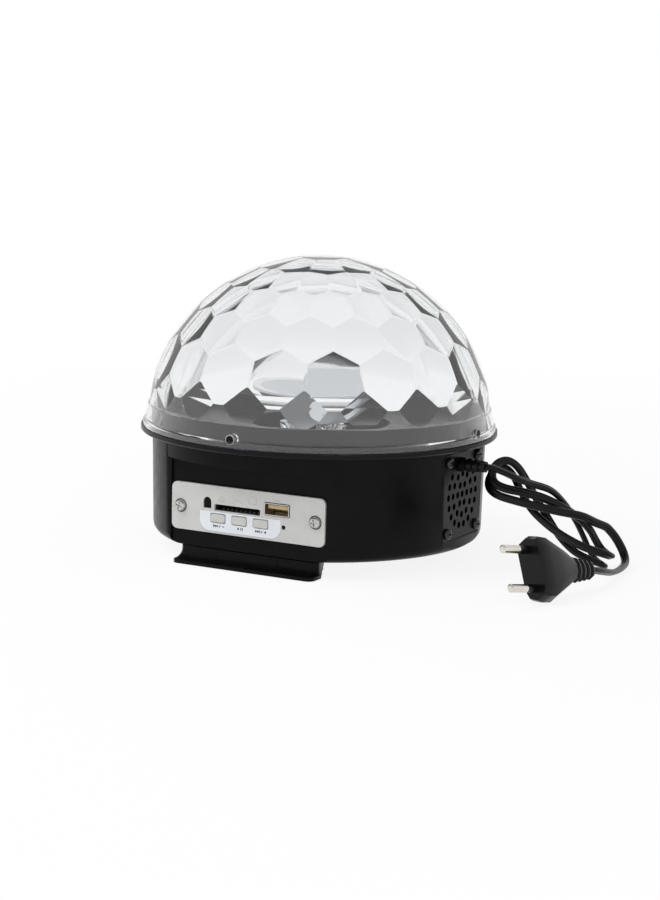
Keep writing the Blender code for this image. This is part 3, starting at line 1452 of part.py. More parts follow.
def main():
    clear_scene()
    base_housing()
    foot("front_foot", -1)
    foot("rear_foot", 1)
    for k, (x, y) in enumerate(post_places()):
        seat = FOOT_HEIGHT - FOOT_WALL - FIT
        screw(f"base_screw_{k + 1}", BASE_SCREW_LENGTH, (x, y, seat), upwards=True)
    lamp_deck()
    dome()
    front_panel()
    for name, side in (("panel_screw_left", -1), ("panel_screw_right", 1)):
        seat = outward(PANEL_FACE + FIT, FRONT, side * PANEL_SCREW_PLACE, PANEL_CENTRE)
        screw(name, PANEL_SCREW_LENGTH, seat, FRONT)
    for name, place in zip(("button_previous", "button_play", "button_next"), button_places()):
        button(name, place)
    usb_socket()
    usb_tongue()
    card_socket()
    ir_receiver()
    indicator_led()
    control_board()
    for side, turn in (("right", RIGHT), ("left", LEFT)):
        grille(f"speaker_grille_{side}", turn, side == "right")
        for k, (across, height) in enumerate(grille_screw_places()):
            seat = outward(SIDE_FLAT + FIT, turn, across, height)
            screw(f"grille_screw_{side}_{k + 1}", GRILLE_SCREW_LENGTH, seat, turn)
        speaker_basket(f"speaker_basket_{side}", turn)
        speaker_magnet(f"speaker_magnet_{side}", turn)
        speaker_cone(f"speaker_cone_{side}", turn)
    led_board()
    for k, (x, y) in enumerate(emitter_places()):
        led_emitter(f"led_emitter_{k + 1}", x, y)
        led_collimator(f"led_collimator_{k + 1}", x, y)
    rotor_motor()
    rotor_shaft()
    rotor_reflector()
    power_board()
    power_transformer()
    cord_strain_relief()
    hank = hank_points()
    neck, behind = plug()
    cord_lead(hank)
    tube("cord_hank", hank, 1)
    cord_tail(hank, neck, behind)
    print("least gap of the hank to itself in mm:", round(1000 * least_gap(hank, CORD_DIAMETER), 2))


main()
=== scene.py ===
"""Disco light speaker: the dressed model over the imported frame, in metres and degrees."""

import json
import math

import bmesh
import bpy
import numpy as np
from mathutils import Euler, Matrix, Vector


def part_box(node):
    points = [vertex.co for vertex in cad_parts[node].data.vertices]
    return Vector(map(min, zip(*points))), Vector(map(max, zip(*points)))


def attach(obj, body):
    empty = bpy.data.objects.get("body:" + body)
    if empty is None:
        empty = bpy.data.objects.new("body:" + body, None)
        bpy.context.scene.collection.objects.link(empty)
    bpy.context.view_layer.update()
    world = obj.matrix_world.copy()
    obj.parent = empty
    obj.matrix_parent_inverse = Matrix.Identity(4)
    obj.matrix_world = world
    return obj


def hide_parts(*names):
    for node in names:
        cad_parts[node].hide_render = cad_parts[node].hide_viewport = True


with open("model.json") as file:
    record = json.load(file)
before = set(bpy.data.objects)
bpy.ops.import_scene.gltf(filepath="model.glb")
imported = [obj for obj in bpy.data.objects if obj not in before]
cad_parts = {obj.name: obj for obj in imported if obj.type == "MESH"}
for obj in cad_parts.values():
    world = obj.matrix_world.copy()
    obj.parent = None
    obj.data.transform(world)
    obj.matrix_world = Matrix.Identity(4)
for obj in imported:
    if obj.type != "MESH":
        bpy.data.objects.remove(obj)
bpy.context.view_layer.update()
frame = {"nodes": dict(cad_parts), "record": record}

# Fits and cuts
FIT = 0.0003
OVERRUN = 0.001
WELD = 0.000001

# Sides of the round pieces
BODY_SIDES = 144
DOME_SIDES = 216
SMALL_SIDES = 28
SPEAKER_SIDES = 48
SCREW_SIDES = 40
HOLE_SIDES = 24
REFLECTOR_SIDES = 72

# Feet: two inverted trays, narrower behind, each with a lip that runs out from its outer face
FOOT_HEIGHT = 0.0078
FOOT_WIDTH = 0.0772
FOOT_BACK_WIDTH = 0.063
FOOT_DEPTH = 0.0226
FOOT_STRAIGHT = 0.003
FOOT_CORNER = 0.0024
FOOT_WALL = 0.0016
FOOT_FLARE = 0.0071
FOOT_FLARE_HEIGHT = 0.0043
FOOT_FLARE_END = 260.0
FOOT_SPREAD = 0.001
FOOT_LIP = 0.0018
FOOT_FRONT = 0.0704
FOOT_GUSSET = 0.001
FOOT_GUSSET_PLACE = 0.0173
FOOT_GUSSET_REACH = 0.0038
FOOT_GUSSET_TOP = 0.0051

# Housing: a moulded round bowl, cut flat at the front, the rear and both sides
HOUSING_HEIGHT = 0.0518
HOUSING_BOTTOM_RADIUS = 0.0842
HOUSING_TOP_RADIUS = 0.0851
HOUSING_WALL = 0.0022
HOUSING_EDGE = 0.005
FRONT_FLAT = 0.071
FRONT_LEDGE_DROP = 0.008
FRONT_BEZEL = 0.0013
FRONT_RECESS = 0.0012
SIDE_FLAT = 0.0817
SIDE_LEDGE_DROP = 0.0016
HOUSING_BOTTOM = FOOT_HEIGHT + FIT
HOUSING_FLOOR = HOUSING_BOTTOM + HOUSING_WALL
HOUSING_TOP = HOUSING_BOTTOM + HOUSING_HEIGHT
OUTSIDE = HOUSING_TOP_RADIUS * 2
FRONT_WALL = FRONT_FLAT - FRONT_RECESS
FRONT_INSIDE = FRONT_WALL - HOUSING_WALL

# Lamp deck: the black tray that closes the housing and carries the lights and the dome
DECK_FLANGE = 0.0026
DECK_RADIUS = 0.091
DECK_PLATE = 0.002
DECK_RING_DEPTH = 0.0042
DECK_RING_WALL = 0.002
UPSTAND_RADIUS = 0.0848
UPSTAND_HEIGHT = 0.011
UPSTAND_WALL = 0.002
UPSTAND_INSIDE = UPSTAND_RADIUS - UPSTAND_WALL
WELL_RADIUS = 0.036
WELL_DEPTH = 0.0128
WELL_WALL = 0.002
POST_RADIUS = 0.0036
POST_ACROSS = 0.028
POST_BACK = 0.0525
POST_BORE_DEPTH = 0.014
DECK_BOTTOM = HOUSING_TOP + FIT
DECK_TOP = DECK_BOTTOM + DECK_FLANGE
PLATE_TOP = DECK_TOP + DECK_PLATE
WELL_FLOOR = PLATE_TOP - WELL_DEPTH
WELL_BOTTOM = WELL_FLOOR - WELL_WALL

# Screws: pan heads with a plain shank
SCREW_SHANK = 0.00125
SCREW_HOLE = SCREW_SHANK + FIT
SCREW_HEAD = 0.0028
SCREW_HEAD_HEIGHT = 0.0018
# A screw head's profile in shares of its radius and its height
SCREW_TOP = [(0, 1), (0.4, 0.985), (0.7, 0.9), (0.9, 0.66), (1, 0.3), (1, 0)]
BASE_SCREW_LENGTH = 0.017
PANEL_SCREW_LENGTH = 0.0065
GRILLE_SCREW_LENGTH = 0.0045

# Dome: smooth outside with a skirt and a rim, and flat facets in staggered rings on its inside
DOME_RIM_RADIUS = 0.09
DOME_RIM_HEIGHT = 0.0032
DOME_SKIRT_BOTTOM = 0.089
DOME_SKIRT_TOP = 0.0875
DOME_SKIRT_HEIGHT = 0.0108
DOME_STEP = 0.0005
DOME_WALL = 0.0021
DOME_RADIUS = 0.0889
DOME_CENTRE_DROP = 0.0024
DOME_SHOULDER_RADIUS = 0.0854
DOME_SHOULDER = 0.0212
FACETS_PER_RING = 18
FACET_TURN = 23.255
# Each ring of facets: its tilt from the horizon, its turn in shares of a facet and its depth
FACET_RINGS = [
    (13.74, 0.0, 0.00121),
    (24.48, 0.5, 0.00177),
    (38.79, 0.0, 0.00141),
    (50.53, 0.5, 0.00119),
    (63.37, 0.0, 0.00101),
]
CROWN_TILT = 75.0
CROWN_DEPTH = 0.001
CAP_DEPTH = 0.0009
DOME_STEPS = 40
DOME_ARC_START = 3.0
DOME_ARC_END = 84.0
DOME_SHARP = 2.6
DOME_PEG_RADIUS = 0.0025
DOME_PEG_HEIGHT = 0.0037
DOME_PEG_REACH = 0.0014
DOME_PEGS = 4
DOME_BOTTOM = DECK_TOP + FIT
DOME_CENTRE = DOME_BOTTOM - DOME_CENTRE_DROP
SKIRT_LEVEL = DOME_BOTTOM + DOME_SKIRT_HEIGHT
PEG_LEVEL = DOME_BOTTOM + DOME_PEG_HEIGHT

# Front panel: a silver plate with its openings, the buttons and the sockets behind it
PANEL_WIDTH = 0.0864
PANEL_HEIGHT = 0.0237
PANEL_THICKNESS = 0.0015
PANEL_CORNER = 0.003
PANEL_CENTRE = 0.02805
PANEL_WINDOW_WIDTH = 0.066
PANEL_WINDOW_HEIGHT = 0.0205
PANEL_SCREW_PLACE = 0.038
PANEL_BACK = FRONT_WALL + FIT
PANEL_FACE = PANEL_BACK + PANEL_THICKNESS
PANEL_CUT = (PANEL_BACK - OVERRUN, PANEL_FACE + OVERRUN)
BEHIND_PANEL = PANEL_BACK - FIT
BUTTON_WIDTH = 0.0081
BUTTON_HEIGHT = 0.0042
BUTTON_CORNER = 0.0006
BUTTON_PROUD = 0.0006
BUTTON_FLANGE = 0.00075
BUTTON_FLANGE_THICKNESS = 0.0008
BUTTON_TRAVEL = 0.0008
BUTTON_STEM_RADIUS = 0.0014
BUTTON_DROP = 0.0042
BUTTON_SPACING = 0.0121
BUTTON_MIDDLE = -0.0044
CARD_SLOT_WIDTH = 0.026
CARD_SLOT_HEIGHT = 0.0031
CARD_AT = (-0.0057, 0, PANEL_CENTRE + 0.0012)
CARD_CAVITY_WIDTH = 0.0246
CARD_CAVITY_HEIGHT = 0.0025
CARD_WALL = 0.0009
CARD_STANDBACK = 0.0003
USB_WIDTH = 0.0139
USB_HEIGHT = 0.006
USB_WALL = 0.0004
USB_AT = (0.0167, 0, PANEL_CENTRE + 0.0037)
USB_PROUD = 0.0004
USB_TONGUE_WIDTH = 0.0111
USB_TONGUE_THICKNESS = 0.0018
USB_TONGUE_RISE = 0.0011
USB_TONGUE_SETBACK = 0.0012
USB_BLOCK_DEPTH = 0.003
RECEIVER_WIDTH = 0.0039
RECEIVER_HEIGHT = 0.005
RECEIVER_AT = (-0.0227, 0, PANEL_CENTRE + 0.0031)
RECEIVER_BODY = 0.0064
RECEIVER_DEPTH = 0.0042
LED_RADIUS = 0.0008
LED_FLANGE = 0.0014
LED_LENGTH = 0.005
LED_PROUD = 0.0002
LED_AT = (0.0205, 0, PANEL_CENTRE - 0.0045)
LEG_WIDTH = 0.0005
LEG_SPACING = 0.00127

# Control board: behind the front panel, on bosses of the front wall
BOARD_FRONT = 0.0584
USB_REAR = BOARD_FRONT + 2 * FIT + USB_WALL
CARD_FACE = BEHIND_PANEL - CARD_STANDBACK
ON_BOARD = BOARD_FRONT + FIT
BOSS_RADIUS = 0.0018
BOSS_PLACE = 0.0354
BOSS_RISE = 0.0085
SWITCH_HEIGHT = 0.0035

# Speakers: one behind each side grille, low enough to leave room for the cord outlet
GRILLE_WIDTH = 0.042
GRILLE_HEIGHT = 0.043
GRILLE_THICKNESS = 0.0015
GRILLE_CENTRE = 0.036
GRILLE_CORNER = 0.001
GRILLE_HOLE = 0.0017
GRILLE_RING = 0.0052
GRILLE_RINGS = 3
GRILLE_SCREW_ACROSS = 0.0165
GRILLE_SCREW_UP = 0.0178
SPEAKER_RADIUS = 0.0142
SPEAKER_CENTRE = 0.0315
SPEAKER_RIM = 0.0026
SPEAKER_HOLE = SPEAKER_RADIUS - SPEAKER_RIM
CONE_SETBACK = 0.0004
CONE_SHEET = 0.0007
CONE_DEPTH = 0.0039
CONE_NECK = 0.0032
CONE_NECK_LENGTH = 0.0008
SIDE_SEAT = SIDE_FLAT - GRILLE_THICKNESS - FIT
SIDE_INSIDE = SIDE_SEAT - HOUSING_WALL

# Lights: three emitters with collimators on a round board, under a turning reflector
LED_BOARD_RADIUS = 0.031
LED_BOARD_BORE = 0.006
LED_BOARD_THICKNESS = 0.0016
EMITTERS = 3
EMITTER_PLACE = 0.014
EMITTER_TURN = 90.0
EMITTER_WIDTH = 0.005
EMITTER_HEIGHT = 0.0016
COLLIMATOR_BASE = 0.0032
COLLIMATOR_TOP = 0.0065
COLLIMATOR_HEIGHT = 0.0085
SHAFT_RADIUS = 0.0015
SHAFT_DEPTH = 0.006
REFLECTOR_BOTTOM = 0.018
REFLECTOR_TOP = 0.027
REFLECTOR_HEIGHT = 0.018
REFLECTOR_LIFT = 0.0014
REFLECTOR_LEVEL = PLATE_TOP + REFLECTOR_LIFT
REFLECTOR_SHEET = 0.0009
REFLECTOR_WINDOW = 0.0046
REFLECTOR_WINDOWS = 6
REFLECTOR_TURN = 24.0
REFLECTOR_PORT = 0.005
REFLECTOR_PORT_PLACE = 0.011
HUB_RADIUS = 0.004
HUB_HEIGHT = 0.007
HUB_SOCKET = 0.005

# Power board on bosses of the housing floor
POWER_WIDTH = 0.092
POWER_DEPTH = 0.056
POWER_BOSS_HEIGHT = 0.0035
POWER_BOSS_INSET = 0.005

# Mains lead: the solid's round diameter, the outlet and the moulded relief
CORD_DIAMETER = 0.0042
OUTLET_ACROSS = -0.003
OUTLET_HEIGHT = 0.0513
RELIEF_NECK = 0.003
RELIEF_FLANGE = 0.004
RELIEF_FLANGE_THICKNESS = 0.0015
RELIEF_BASE = 0.0037
RELIEF_TIP = 0.0027
RELIEF_LENGTH = 0.0137
RELIEF_GROOVES = 3
RELIEF_GROOVE = 0.0006
RELIEF_GROOVE_WIDTH = 0.0012
ON_SIDE = SIDE_FLAT + FIT
RELIEF_END = ON_SIDE + RELIEF_LENGTH

# The hank: its middle line, its turns and the twist along it
HANK_LINE = [
    (0.0950, 0.0075, 0.0488),
    (0.1130, 0.0125, 0.0390),
    (0.1370, 0.0230, 0.0160),
    (0.1480, 0.0310, 0.0062),
]
HANK_POINTS_PER_TURN = 24
HANK_START = 62.0
HANK_TURNS = 2.16
HANK_BULGE = 0.0215
HANK_WAIST_SHARE = 0.74
HANK_STEP = 0.0056
HANK_LEAN = -36.0
HANK_TWIST = 216.0

# Route of the lead between the relief and the hank, and of the tail between the hank and the plug
LEAD_ROUTE = [
    (0.1008, -0.0030, 0.0509),
    (0.1048, -0.0024, 0.0497),
]
TAIL_ROUTE = [
    (0.1472, 0.0425, 0.0145),
    (0.1510, 0.0440, 0.0075),
    (0.1545, 0.0385, 0.0034),
    (0.1568, 0.0270, 0.0026),
    (0.1584, 0.0120, 0.0036),
    (0.1588, -0.0020, 0.0066),
]
ROUTE_STEP = 0.0033
CURVE_STEPS = 20

# Plug: flat two-pin body that tapers to a ribbed neck, lying with its lowest corner on the floor
PLUG_PLACE = (0.1444, -0.0556)
PLUG_HEADING = -106.4
PLUG_PITCH = 8.74
PLUG_ROLL = 24.45
PLUG_WIDTH = 0.0318
PLUG_FACE_WIDTH = 0.0298
PLUG_THICKNESS = 0.0137
PLUG_FACE_THICKNESS = 0.0125
PLUG_CORNER_SHARE = 0.48
PLUG_FACE_DEPTH = 0.0025
PLUG_SHOULDER = 0.0085
PLUG_BODY = 0.0265
PLUG_LENGTH = 0.0433
NECK_WIDTH = 0.0137
NECK_THICKNESS = 0.0105
NECK_END_WIDTH = 0.0085
NECK_END_THICKNESS = 0.0075
NECK_RIBS = 4
NECK_GROOVE = 0.0009
NECK_RIB_SHARES = (0, 0.15, 0.5, 0.65)
PIN_RADIUS = 0.002
PIN_CORE = 0.0012
PIN_LENGTH = 0.019
PIN_SLEEVE = 0.007
PIN_SPACING = 0.0186
PIN_ROOT = 0.006
PIN_TIP = 0.0008

# The flat cord: its jacket, and how soon and how far it turns its thin side into a bend
FLAT_CORD_WIDTH = 0.0044
FLAT_CORD_CORE = 0.00075
CORD_SHARP = 60.0
CORD_BEND_GAIN = 1.5
CORD_BEND_SHARE = 0.12

# What the object shows beyond the solids: recesses, softened facets, light rings that paint the
# highlight on the pegs' rims, and dark rings that paint the shade in the screw grooves
CROSS_LENGTH = 0.0036
CROSS_WIDTH = 0.0007
CROSS_DEPTH = 0.0011
FACET_LEAST = 0.00003
FACET_EDGE = 0.0009
FACET_EDGE_STEPS = 6
# The light ring on each peg's end paints the highlight on the peg's rim
PEG_RING_INSIDE = 0.0021
PEG_RING_OUTSIDE = 0.0025
PEG_RING_DEPTH = 0.0005
PEG_RING_PLACE = 0.0889
GROOVE_INSIDE = 0.0029
GROOVE_OUTSIDE = 0.0034
GROOVE_DEPTH = 0.0007
# Height of the dark rings that paint the shade in the screw grooves
SHADOW_RING_HEIGHT = 0.0006

# Contacts: half widths, how far they stand out of their plastic or sink into it, and their ends
USB_STRIPS = (-0.0035, -0.001, 0.001, 0.0035)
USB_STRIP_HALF = 0.0005
USB_STRIP_PROUD = 0.00012
USB_STRIP_SUNK = 0.0001
USB_STRIP_SETBACK = 0.001
CARD_STRIPS = 9
CARD_STRIP_PITCH = 0.0025
CARD_STRIP_HALF = 0.0004
CARD_STRIP_PROUD = 0.0004
CARD_STRIP_SUNK = 0.0001
CARD_STRIP_ENDS = (0.006, 0.0018)

# Print on the panel, in metres across it and up from the floor: a white field in a grey line
PRINT_LIFT = 0.00004
FIELD_LEFT = -0.027
FIELD_RIGHT = 0.0189
FIELD_TOP = 0.027
FIELD_BOTTOM = 0.0173
FIELD_CORNER = 0.0055
FIELD_LINE = 0.00022
# Signs under the buttons: where each begins, then the sizes of its parts and their steps from there
SIGN_PLACES = (-0.0190, -0.0053, 0.0048)
SIGN_HEIGHT = 0.0014
SIGN_LEVEL = 0.0199
SIGN_STROKE = 0.0004
SIGN_ARROW = 0.0011
PLAY_ARROW = 0.0012
BACK_STEPS = (0.0014, 0.0025)
PLAY_STEPS = (0.0018, 0.0026)
FORWARD_STEP = 0.0023
SLASH_STEPS = (0.0031, 0.0035, 0.0042, 0.0038)
DASH_STEP = 0.0056
DASH_WIDTH = 0.0013
PLUS_RISE = 0.00043
PLUS_ARM = 0.00047
# Faint outlines over the slots
MARK_WIDTH = 0.00025
MARK_TRIANGLE = [(-0.0166, 0.0326), (-0.0146, 0.0349), (-0.0127, 0.0326), (-0.0166, 0.0326)]
MARK_HALF_ROUND = ((-0.0052, 0.0309), 0.0031, 15.0, 165.0, 14)
MARK_CARD = [(0.0008, 0.0331), (0.0051, 0.0331), (0.0051, 0.0367), (0.0018, 0.0367), (0.0008, 0.0357)]
MARK_BAR = [(0.0152, 0.0361), (0.0188, 0.0361)]

# Floor: for each fade the least and the greatest share of its own glow, and where that grows
FLOOR_REACH = 30.0
FLOOR_DEPTH = 0.01
FLOOR_TOP = -0.0002
FLOOR_COLOUR = (0.92, 0.92, 0.92, 1.0)
FLOOR_ROUGH = 0.7
FLOOR_FADE = (0.88, 1.0, 0.15, 0.8)
FLOOR_THROUGH_GLASS = (0.62, 1.0, 0.55, 1.15)
# Room: what lights the object, what it mirrors, and the heights between which overhead begins
ROOM_LIGHT = (0.45, 0.45, 0.46, 1.0)
ROOM_WHITE = (1.0, 1.0, 1.0, 1.0)
ROOM_OVERHEAD = (0.62, 0.63, 0.66, 1.0)
ROOM_FADE = (0.3, 0.75)
GLASS_BOUNCES = 40
# Name, place, width, height and power
LAMPS = [
    ("key", (-0.5, -0.6, 1.1), 0.7, 0.7, 9.0),
    ("fill", (0.9, -0.9, 0.5), 0.6, 0.6, 3.0),
    ("edge", (-1.0, 0.1, 0.3), 0.25, 0.8, 3.0),
]
LAMP_TARGET = (0, 0, 0.06)
CAMERA_TARGET = Vector((0, 0, 0.0631))
CAMERA_DISTANCE = 1.1797
CAMERA_AZIMUTH = 28.55
CAMERA_ELEVATION = 8.95
CAMERA_ROLL = 1.34
CAMERA_LENS = 92.15
CAMERA_SENSOR = 36.0
CAMERA_CLIP = (0.01, 20.0)
CAMERA_SHIFT = (0.01184, -0.02858)

# Colour, range of roughness, metallic value, size and depth of the grain, spread of its colour,
# specular level, and the radius of its softened edges
SURFACES = {
    "black_plastic": ((0.0035, 0.0035, 0.0038), (0.24, 0.34), 0.0, 0.0004, 4e-6, 0.25, 0.09, 0.0003),
    "dark_deck": ((0.006, 0.006, 0.008), (0.26, 0.38), 0.0, 0.0004, 4e-6, 0.25, 0.12, 0.0003),
    "silver_panel": ((0.60, 0.60, 0.58), (0.36, 0.46), 0.15, 0.00025, 3e-6, 0.05, 0.5, 0.0003),
    "grey_button": ((0.60, 0.60, 0.57), (0.38, 0.5), 0.0, 0.0003, 3e-6, 0.05, 0.5, 0.0002),
    "steel": ((0.60, 0.59, 0.56), (0.2, 0.34), 1.0, 0.0006, 3e-6, 0.12, 0.5, 0.0002),
    # Black steel of the grille screws; on the card socket it paints the shade inside the slot
    "black_steel_and_slot_shade": ((0.05, 0.05, 0.052), (0.22, 0.34), 0.9, 0.0006, 3e-6, 0.12, 0.5, 0.0002),
    # Darkened nickel: paints the shade on the contacts inside the card slot
    "nickel_in_painted_shade": ((0.16, 0.155, 0.14), (0.3, 0.4), 0.8, 0.0005, 2e-6, 0.2, 0.5, 0.0),
    "nickel": ((0.72, 0.69, 0.62), (0.18, 0.3), 1.0, 0.0005, 2e-6, 0.1, 0.5, 0.0002),
    "tan_plastic": ((0.60, 0.45, 0.22), (0.4, 0.5), 0.0, 0.0004, 3e-6, 0.1, 0.5, 0.0002),
    "board_green": ((0.02, 0.14, 0.06), (0.35, 0.5), 0.0, 0.0012, 6e-6, 0.25, 0.5, 0.0),
    "dark_glass": ((0.003, 0.003, 0.004), (0.08, 0.16), 0.0, 0.001, 2e-6, 0.1, 0.1, 0.0002),
    "aluminium": ((0.74, 0.75, 0.77), (0.26, 0.4), 1.0, 0.0008, 4e-6, 0.1, 0.5, 0.0002),
    "mirror_silver": ((0.92, 0.95, 0.99), (0.12, 0.2), 0.2, 0.004, 1e-5, 0.04, 0.5, 0.0),
    "yellow_emitter": ((0.78, 0.62, 0.12), (0.3, 0.5), 0.0, 0.0004, 4e-6, 0.15, 0.5, 0.0),
    "paper_cone": ((0.03, 0.03, 0.033), (0.7, 0.9), 0.0, 0.0005, 4e-5, 0.3, 0.5, 0.0),
    "ferrite": ((0.05, 0.05, 0.055), (0.5, 0.7), 0.0, 0.0005, 2e-5, 0.3, 0.5, 0.0),
    "cord_black": ((0.004, 0.004, 0.0045), (0.2, 0.3), 0.0, 0.0005, 6e-6, 0.25, 0.2, 0.0002),
    # Light grey that paints the highlight on the rims of the dome's pegs
    "painted_rim_highlight": ((0.42, 0.43, 0.45), (0.5, 0.6), 0.0, 0.0003, 4e-6, 0.05, 0.5, 0.0),
    "print_white": ((0.80, 0.84, 0.88), (0.34, 0.44), 0.0, 0.0003, 2e-6, 0.03, 0.5, 0.0),
    # Dark print, also used for the painted shade in the panel's screw grooves
    "print_dark_and_painted_shade": ((0.006, 0.006, 0.008), (0.4, 0.5), 0.0, 0.0003, 2e-6, 0.1, 0.1, 0.0),
    "print_grey": ((0.44, 0.44, 0.43), (0.4, 0.5), 0.0, 0.0003, 2e-6, 0.1, 0.5, 0.0),
}
CAD_FINISH = {
    "control_board": "board_green",
    "power_board": "board_green",
    "power_transformer": "ferrite",
    "rotor_motor": "steel",
    "speaker_basket_right": "steel",
    "speaker_basket_left": "steel",
    "speaker_magnet_right": "ferrite",
    "speaker_magnet_left": "ferrite",
}
# The part of a noise's range that a material uses, and its sizes in grains for tint and for gloss
NOISE_LOW = 0.3
NOISE_HIGH = 0.7
TINT_GRAINS = 40
GLOSS_GRAINS = 12
BEVEL_SAMPLES = 4
# Clear plastic: size of the haze, and size and depth of the waviness from moulding
CLEAR_COLOUR = (0.985, 0.99, 0.995, 1.0)
CLEAR_IOR = 1.59
CLEAR_ROUGH = (0.01, 0.035)
CLEAR_HAZE = 0.012
CLEAR_WAVE = 0.02
CLEAR_WAVE_DEPTH = 0.00004

# Turns that face the four sides
FRONT = 0.0
RIGHT = 90.0
REAR = 180.0
LEFT = -90.0

BODIES = frame["record"]["behaviour"]["bodies"]
BODY_OF = {node: body for body, nodes in BODIES.items() for node in nodes}


# Materials


def feed(tree, target, inputs):
    """Sets each named input of a node to its value, or links it to another node's output."""
    for name, value in inputs.items():
        if isinstance(value, bpy.types.NodeSocket):
            tree.links.new(value, target.inputs[name])
        else:
            target.inputs[name].default_value = value


def add_node(tree, kind, inputs):
    made = tree.nodes.new("ShaderNode" + kind)
    feed(tree, made, inputs)
    return made


def noise(tree, where, size, detail=3.0):
    inputs = {"Scale": 1 / size, "Detail": detail, "Vector": where}
    return add_node(tree, "TexNoise", inputs).outputs["Fac"]


def ramp(tree, value, low, high, least=NOISE_LOW, most=NOISE_HIGH, shape="LINEAR"):
    """A value from low to high while another goes from least to most."""
    spans = {"Value": value, "From Min": least, "From Max": most, "To Min": low, "To Max": high}
    made = add_node(tree, "MapRange", spans)
    made.interpolation_type = shape
    return made.outputs["Result"]


def mixed(tree, factor, first, second):
    """The first colour where the factor is 0, the second where it is 1."""
    return add_node(tree, "MixRGB", {"Fac": factor, "Color1": first, "Color2": second}).outputs["Color"]


def maths(tree, operation, first, second):
    made = add_node(tree, "Math", {0: first, 1: second})
    made.operation = operation
    return made.outputs[0]


def finish(name):
    """The procedural material of this name, made once."""
    known = "look_" + name
    if known in bpy.data.materials:
        return bpy.data.materials[known]
    made = bpy.data.materials.new(known)
    made.use_nodes = True
    tree = made.node_tree
    where = add_node(tree, "TexCoord", {}).outputs["Object"]
    clear = name == "clear_plastic"
    looks = clear_plastic(tree, where) if clear else grained(tree, where, *SURFACES[name])
    feed(tree, tree.nodes["Principled BSDF"], looks)
    return made


def grained(tree, where, colour, rough, metallic, grain, depth, spread, specular, edge):
    """The shader's inputs for a surface with grain in its tint, its gloss and its height."""
    dark = [channel * (1 - spread) for channel in colour]
    light = [min(1.0, channel * (1 + spread)) for channel in colour]
    share = ramp(tree, noise(tree, where, grain * TINT_GRAINS), 0.0, 1.0)
    bump = add_node(tree, "Bump", {"Distance": depth, "Height": noise(tree, where, grain, 2.0)})
    if edge:
        bevel = add_node(tree, "Bevel", {"Radius": edge})
        bevel.samples = BEVEL_SAMPLES
        feed(tree, bump, {"Normal": bevel.outputs["Normal"]})
    return {
        "Base Color": mixed(tree, share, (*dark, 1.0), (*light, 1.0)),
        "Roughness": ramp(tree, noise(tree, where, grain * GLOSS_GRAINS), *rough),
        "Metallic": metallic,
        "Specular IOR Level": specular,
        "Normal": bump.outputs["Normal"],
    }


def clear_plastic(tree, where):
    """The shader's inputs for clear polystyrene with a faint waviness from moulding."""
    waves = noise(tree, where, CLEAR_WAVE, 1.0)
    bump = add_node(tree, "Bump", {"Distance": CLEAR_WAVE_DEPTH, "Height": waves})
    return {
        "Base Color": CLEAR_COLOUR,
        "Transmission Weight": 1.0,
        "IOR": CLEAR_IOR,
        "Roughness": ramp(tree, noise(tree, where, CLEAR_HAZE), *CLEAR_ROUGH),
        "Normal": bump.outputs["Normal"],
    }


# Outlines


def arm(radius, degrees):
    """The point (x, y) at this radius and turn."""
    turn = math.radians(degrees)
    return radius * math.cos(turn), radius * math.sin(turn)


def around(count, start=0.0):
    """Turns in even steps all round."""
    return [start + 360.0 * k / count for k in range(count)]


def arc(centre, radius, start, end, steps):
    """Points along an arc, both ends included."""
    points = []
    for k in range(steps + 1):
        across, along = arm(radius, start + (end - start) * k / steps)
        points.append((centre[0] + across, centre[1] + along))
    return points


def rounded(width, height, corner, steps=1, growth=0):
    """The outline of a rectangle round its middle, with round corners, grown on every side."""
    across = width / 2 + growth - corner
    along = height / 2 + growth - corner
    outline = []
    for k, (side, end) in enumerate([(1, 1), (-1, 1), (-1, -1), (1, -1)]):
        outline += arc((side * across, end * along), corner, 90.0 * k, 90.0 * (k + 1), steps)
    return outline


def rectangle(left, low, right, high):
    return [(left, low), (right, low), (right, high), (left, high)]


def ring(radius, sides=SMALL_SIDES):
    return [arm(radius, turn) for turn in around(sides)]


def smaller(outline, inset):
    """The outline drawn in by an inset on every side."""
    return [(x - math.copysign(inset, x), y - math.copysign(inset, y)) for x, y in outline]


def four(across, along, height=0):
    """Four places, at the corners of a rectangle round the axis."""
    return [(x, y, height) for x in (-across, across) for y in (-along, along)]


def on_panel(across, rise=0):
    return (across, 0, PANEL_CENTRE + rise)


def facing(turn):
    """The rotation that lays +Z outwards on a side."""
    return Euler((math.radians(90.0), 0, math.radians(turn)))


def outward(depth, turn, across=0, height=0):
    """The point at this depth out from the axis on a side, and at this place across its face."""
    return facing(turn).to_matrix() @ Vector((across, height, depth))


# Solids


def as_object(bm, material="black_plastic"):
    """An object of this closed mesh, its faces turned outwards."""
    bmesh.ops.recalc_face_normals(bm, faces=bm.faces)
    mesh = bpy.data.meshes.new("solid")
    bm.to_mesh(mesh)
    bm.free()
    thing = bpy.data.objects.new("solid", mesh)
    bpy.context.scene.collection.objects.link(thing)
    mesh.materials.append(finish(material))
    return thing


def skin(bm, rings):
    """Closed faces through rings of as many points each, capped at both ends."""
    made = [[bm.verts.new(point) for point in points] for points in rings]
    bm.faces.new(made[0])
    bm.faces.new(made[-1])
    for lower, upper in zip(made, made[1:]):
        for k in range(len(lower)):
            follow = (k + 1) % len(lower)
            bm.faces.new((lower[k], lower[follow], upper[follow], upper[k]))


def loft(rings, material="black_plastic"):
    bm = bmesh.new()
    skin(bm, rings)
    return as_object(bm, material)


def prism(outline, bottom, top, material="black_plastic"):
    return loft([[(x, y, z) for x, y in outline] for z in (bottom, top)], material)


def box(low, high, material="black_plastic"):
    return prism(rectangle(*low[:2], *high[:2]), low[2], high[2], material)


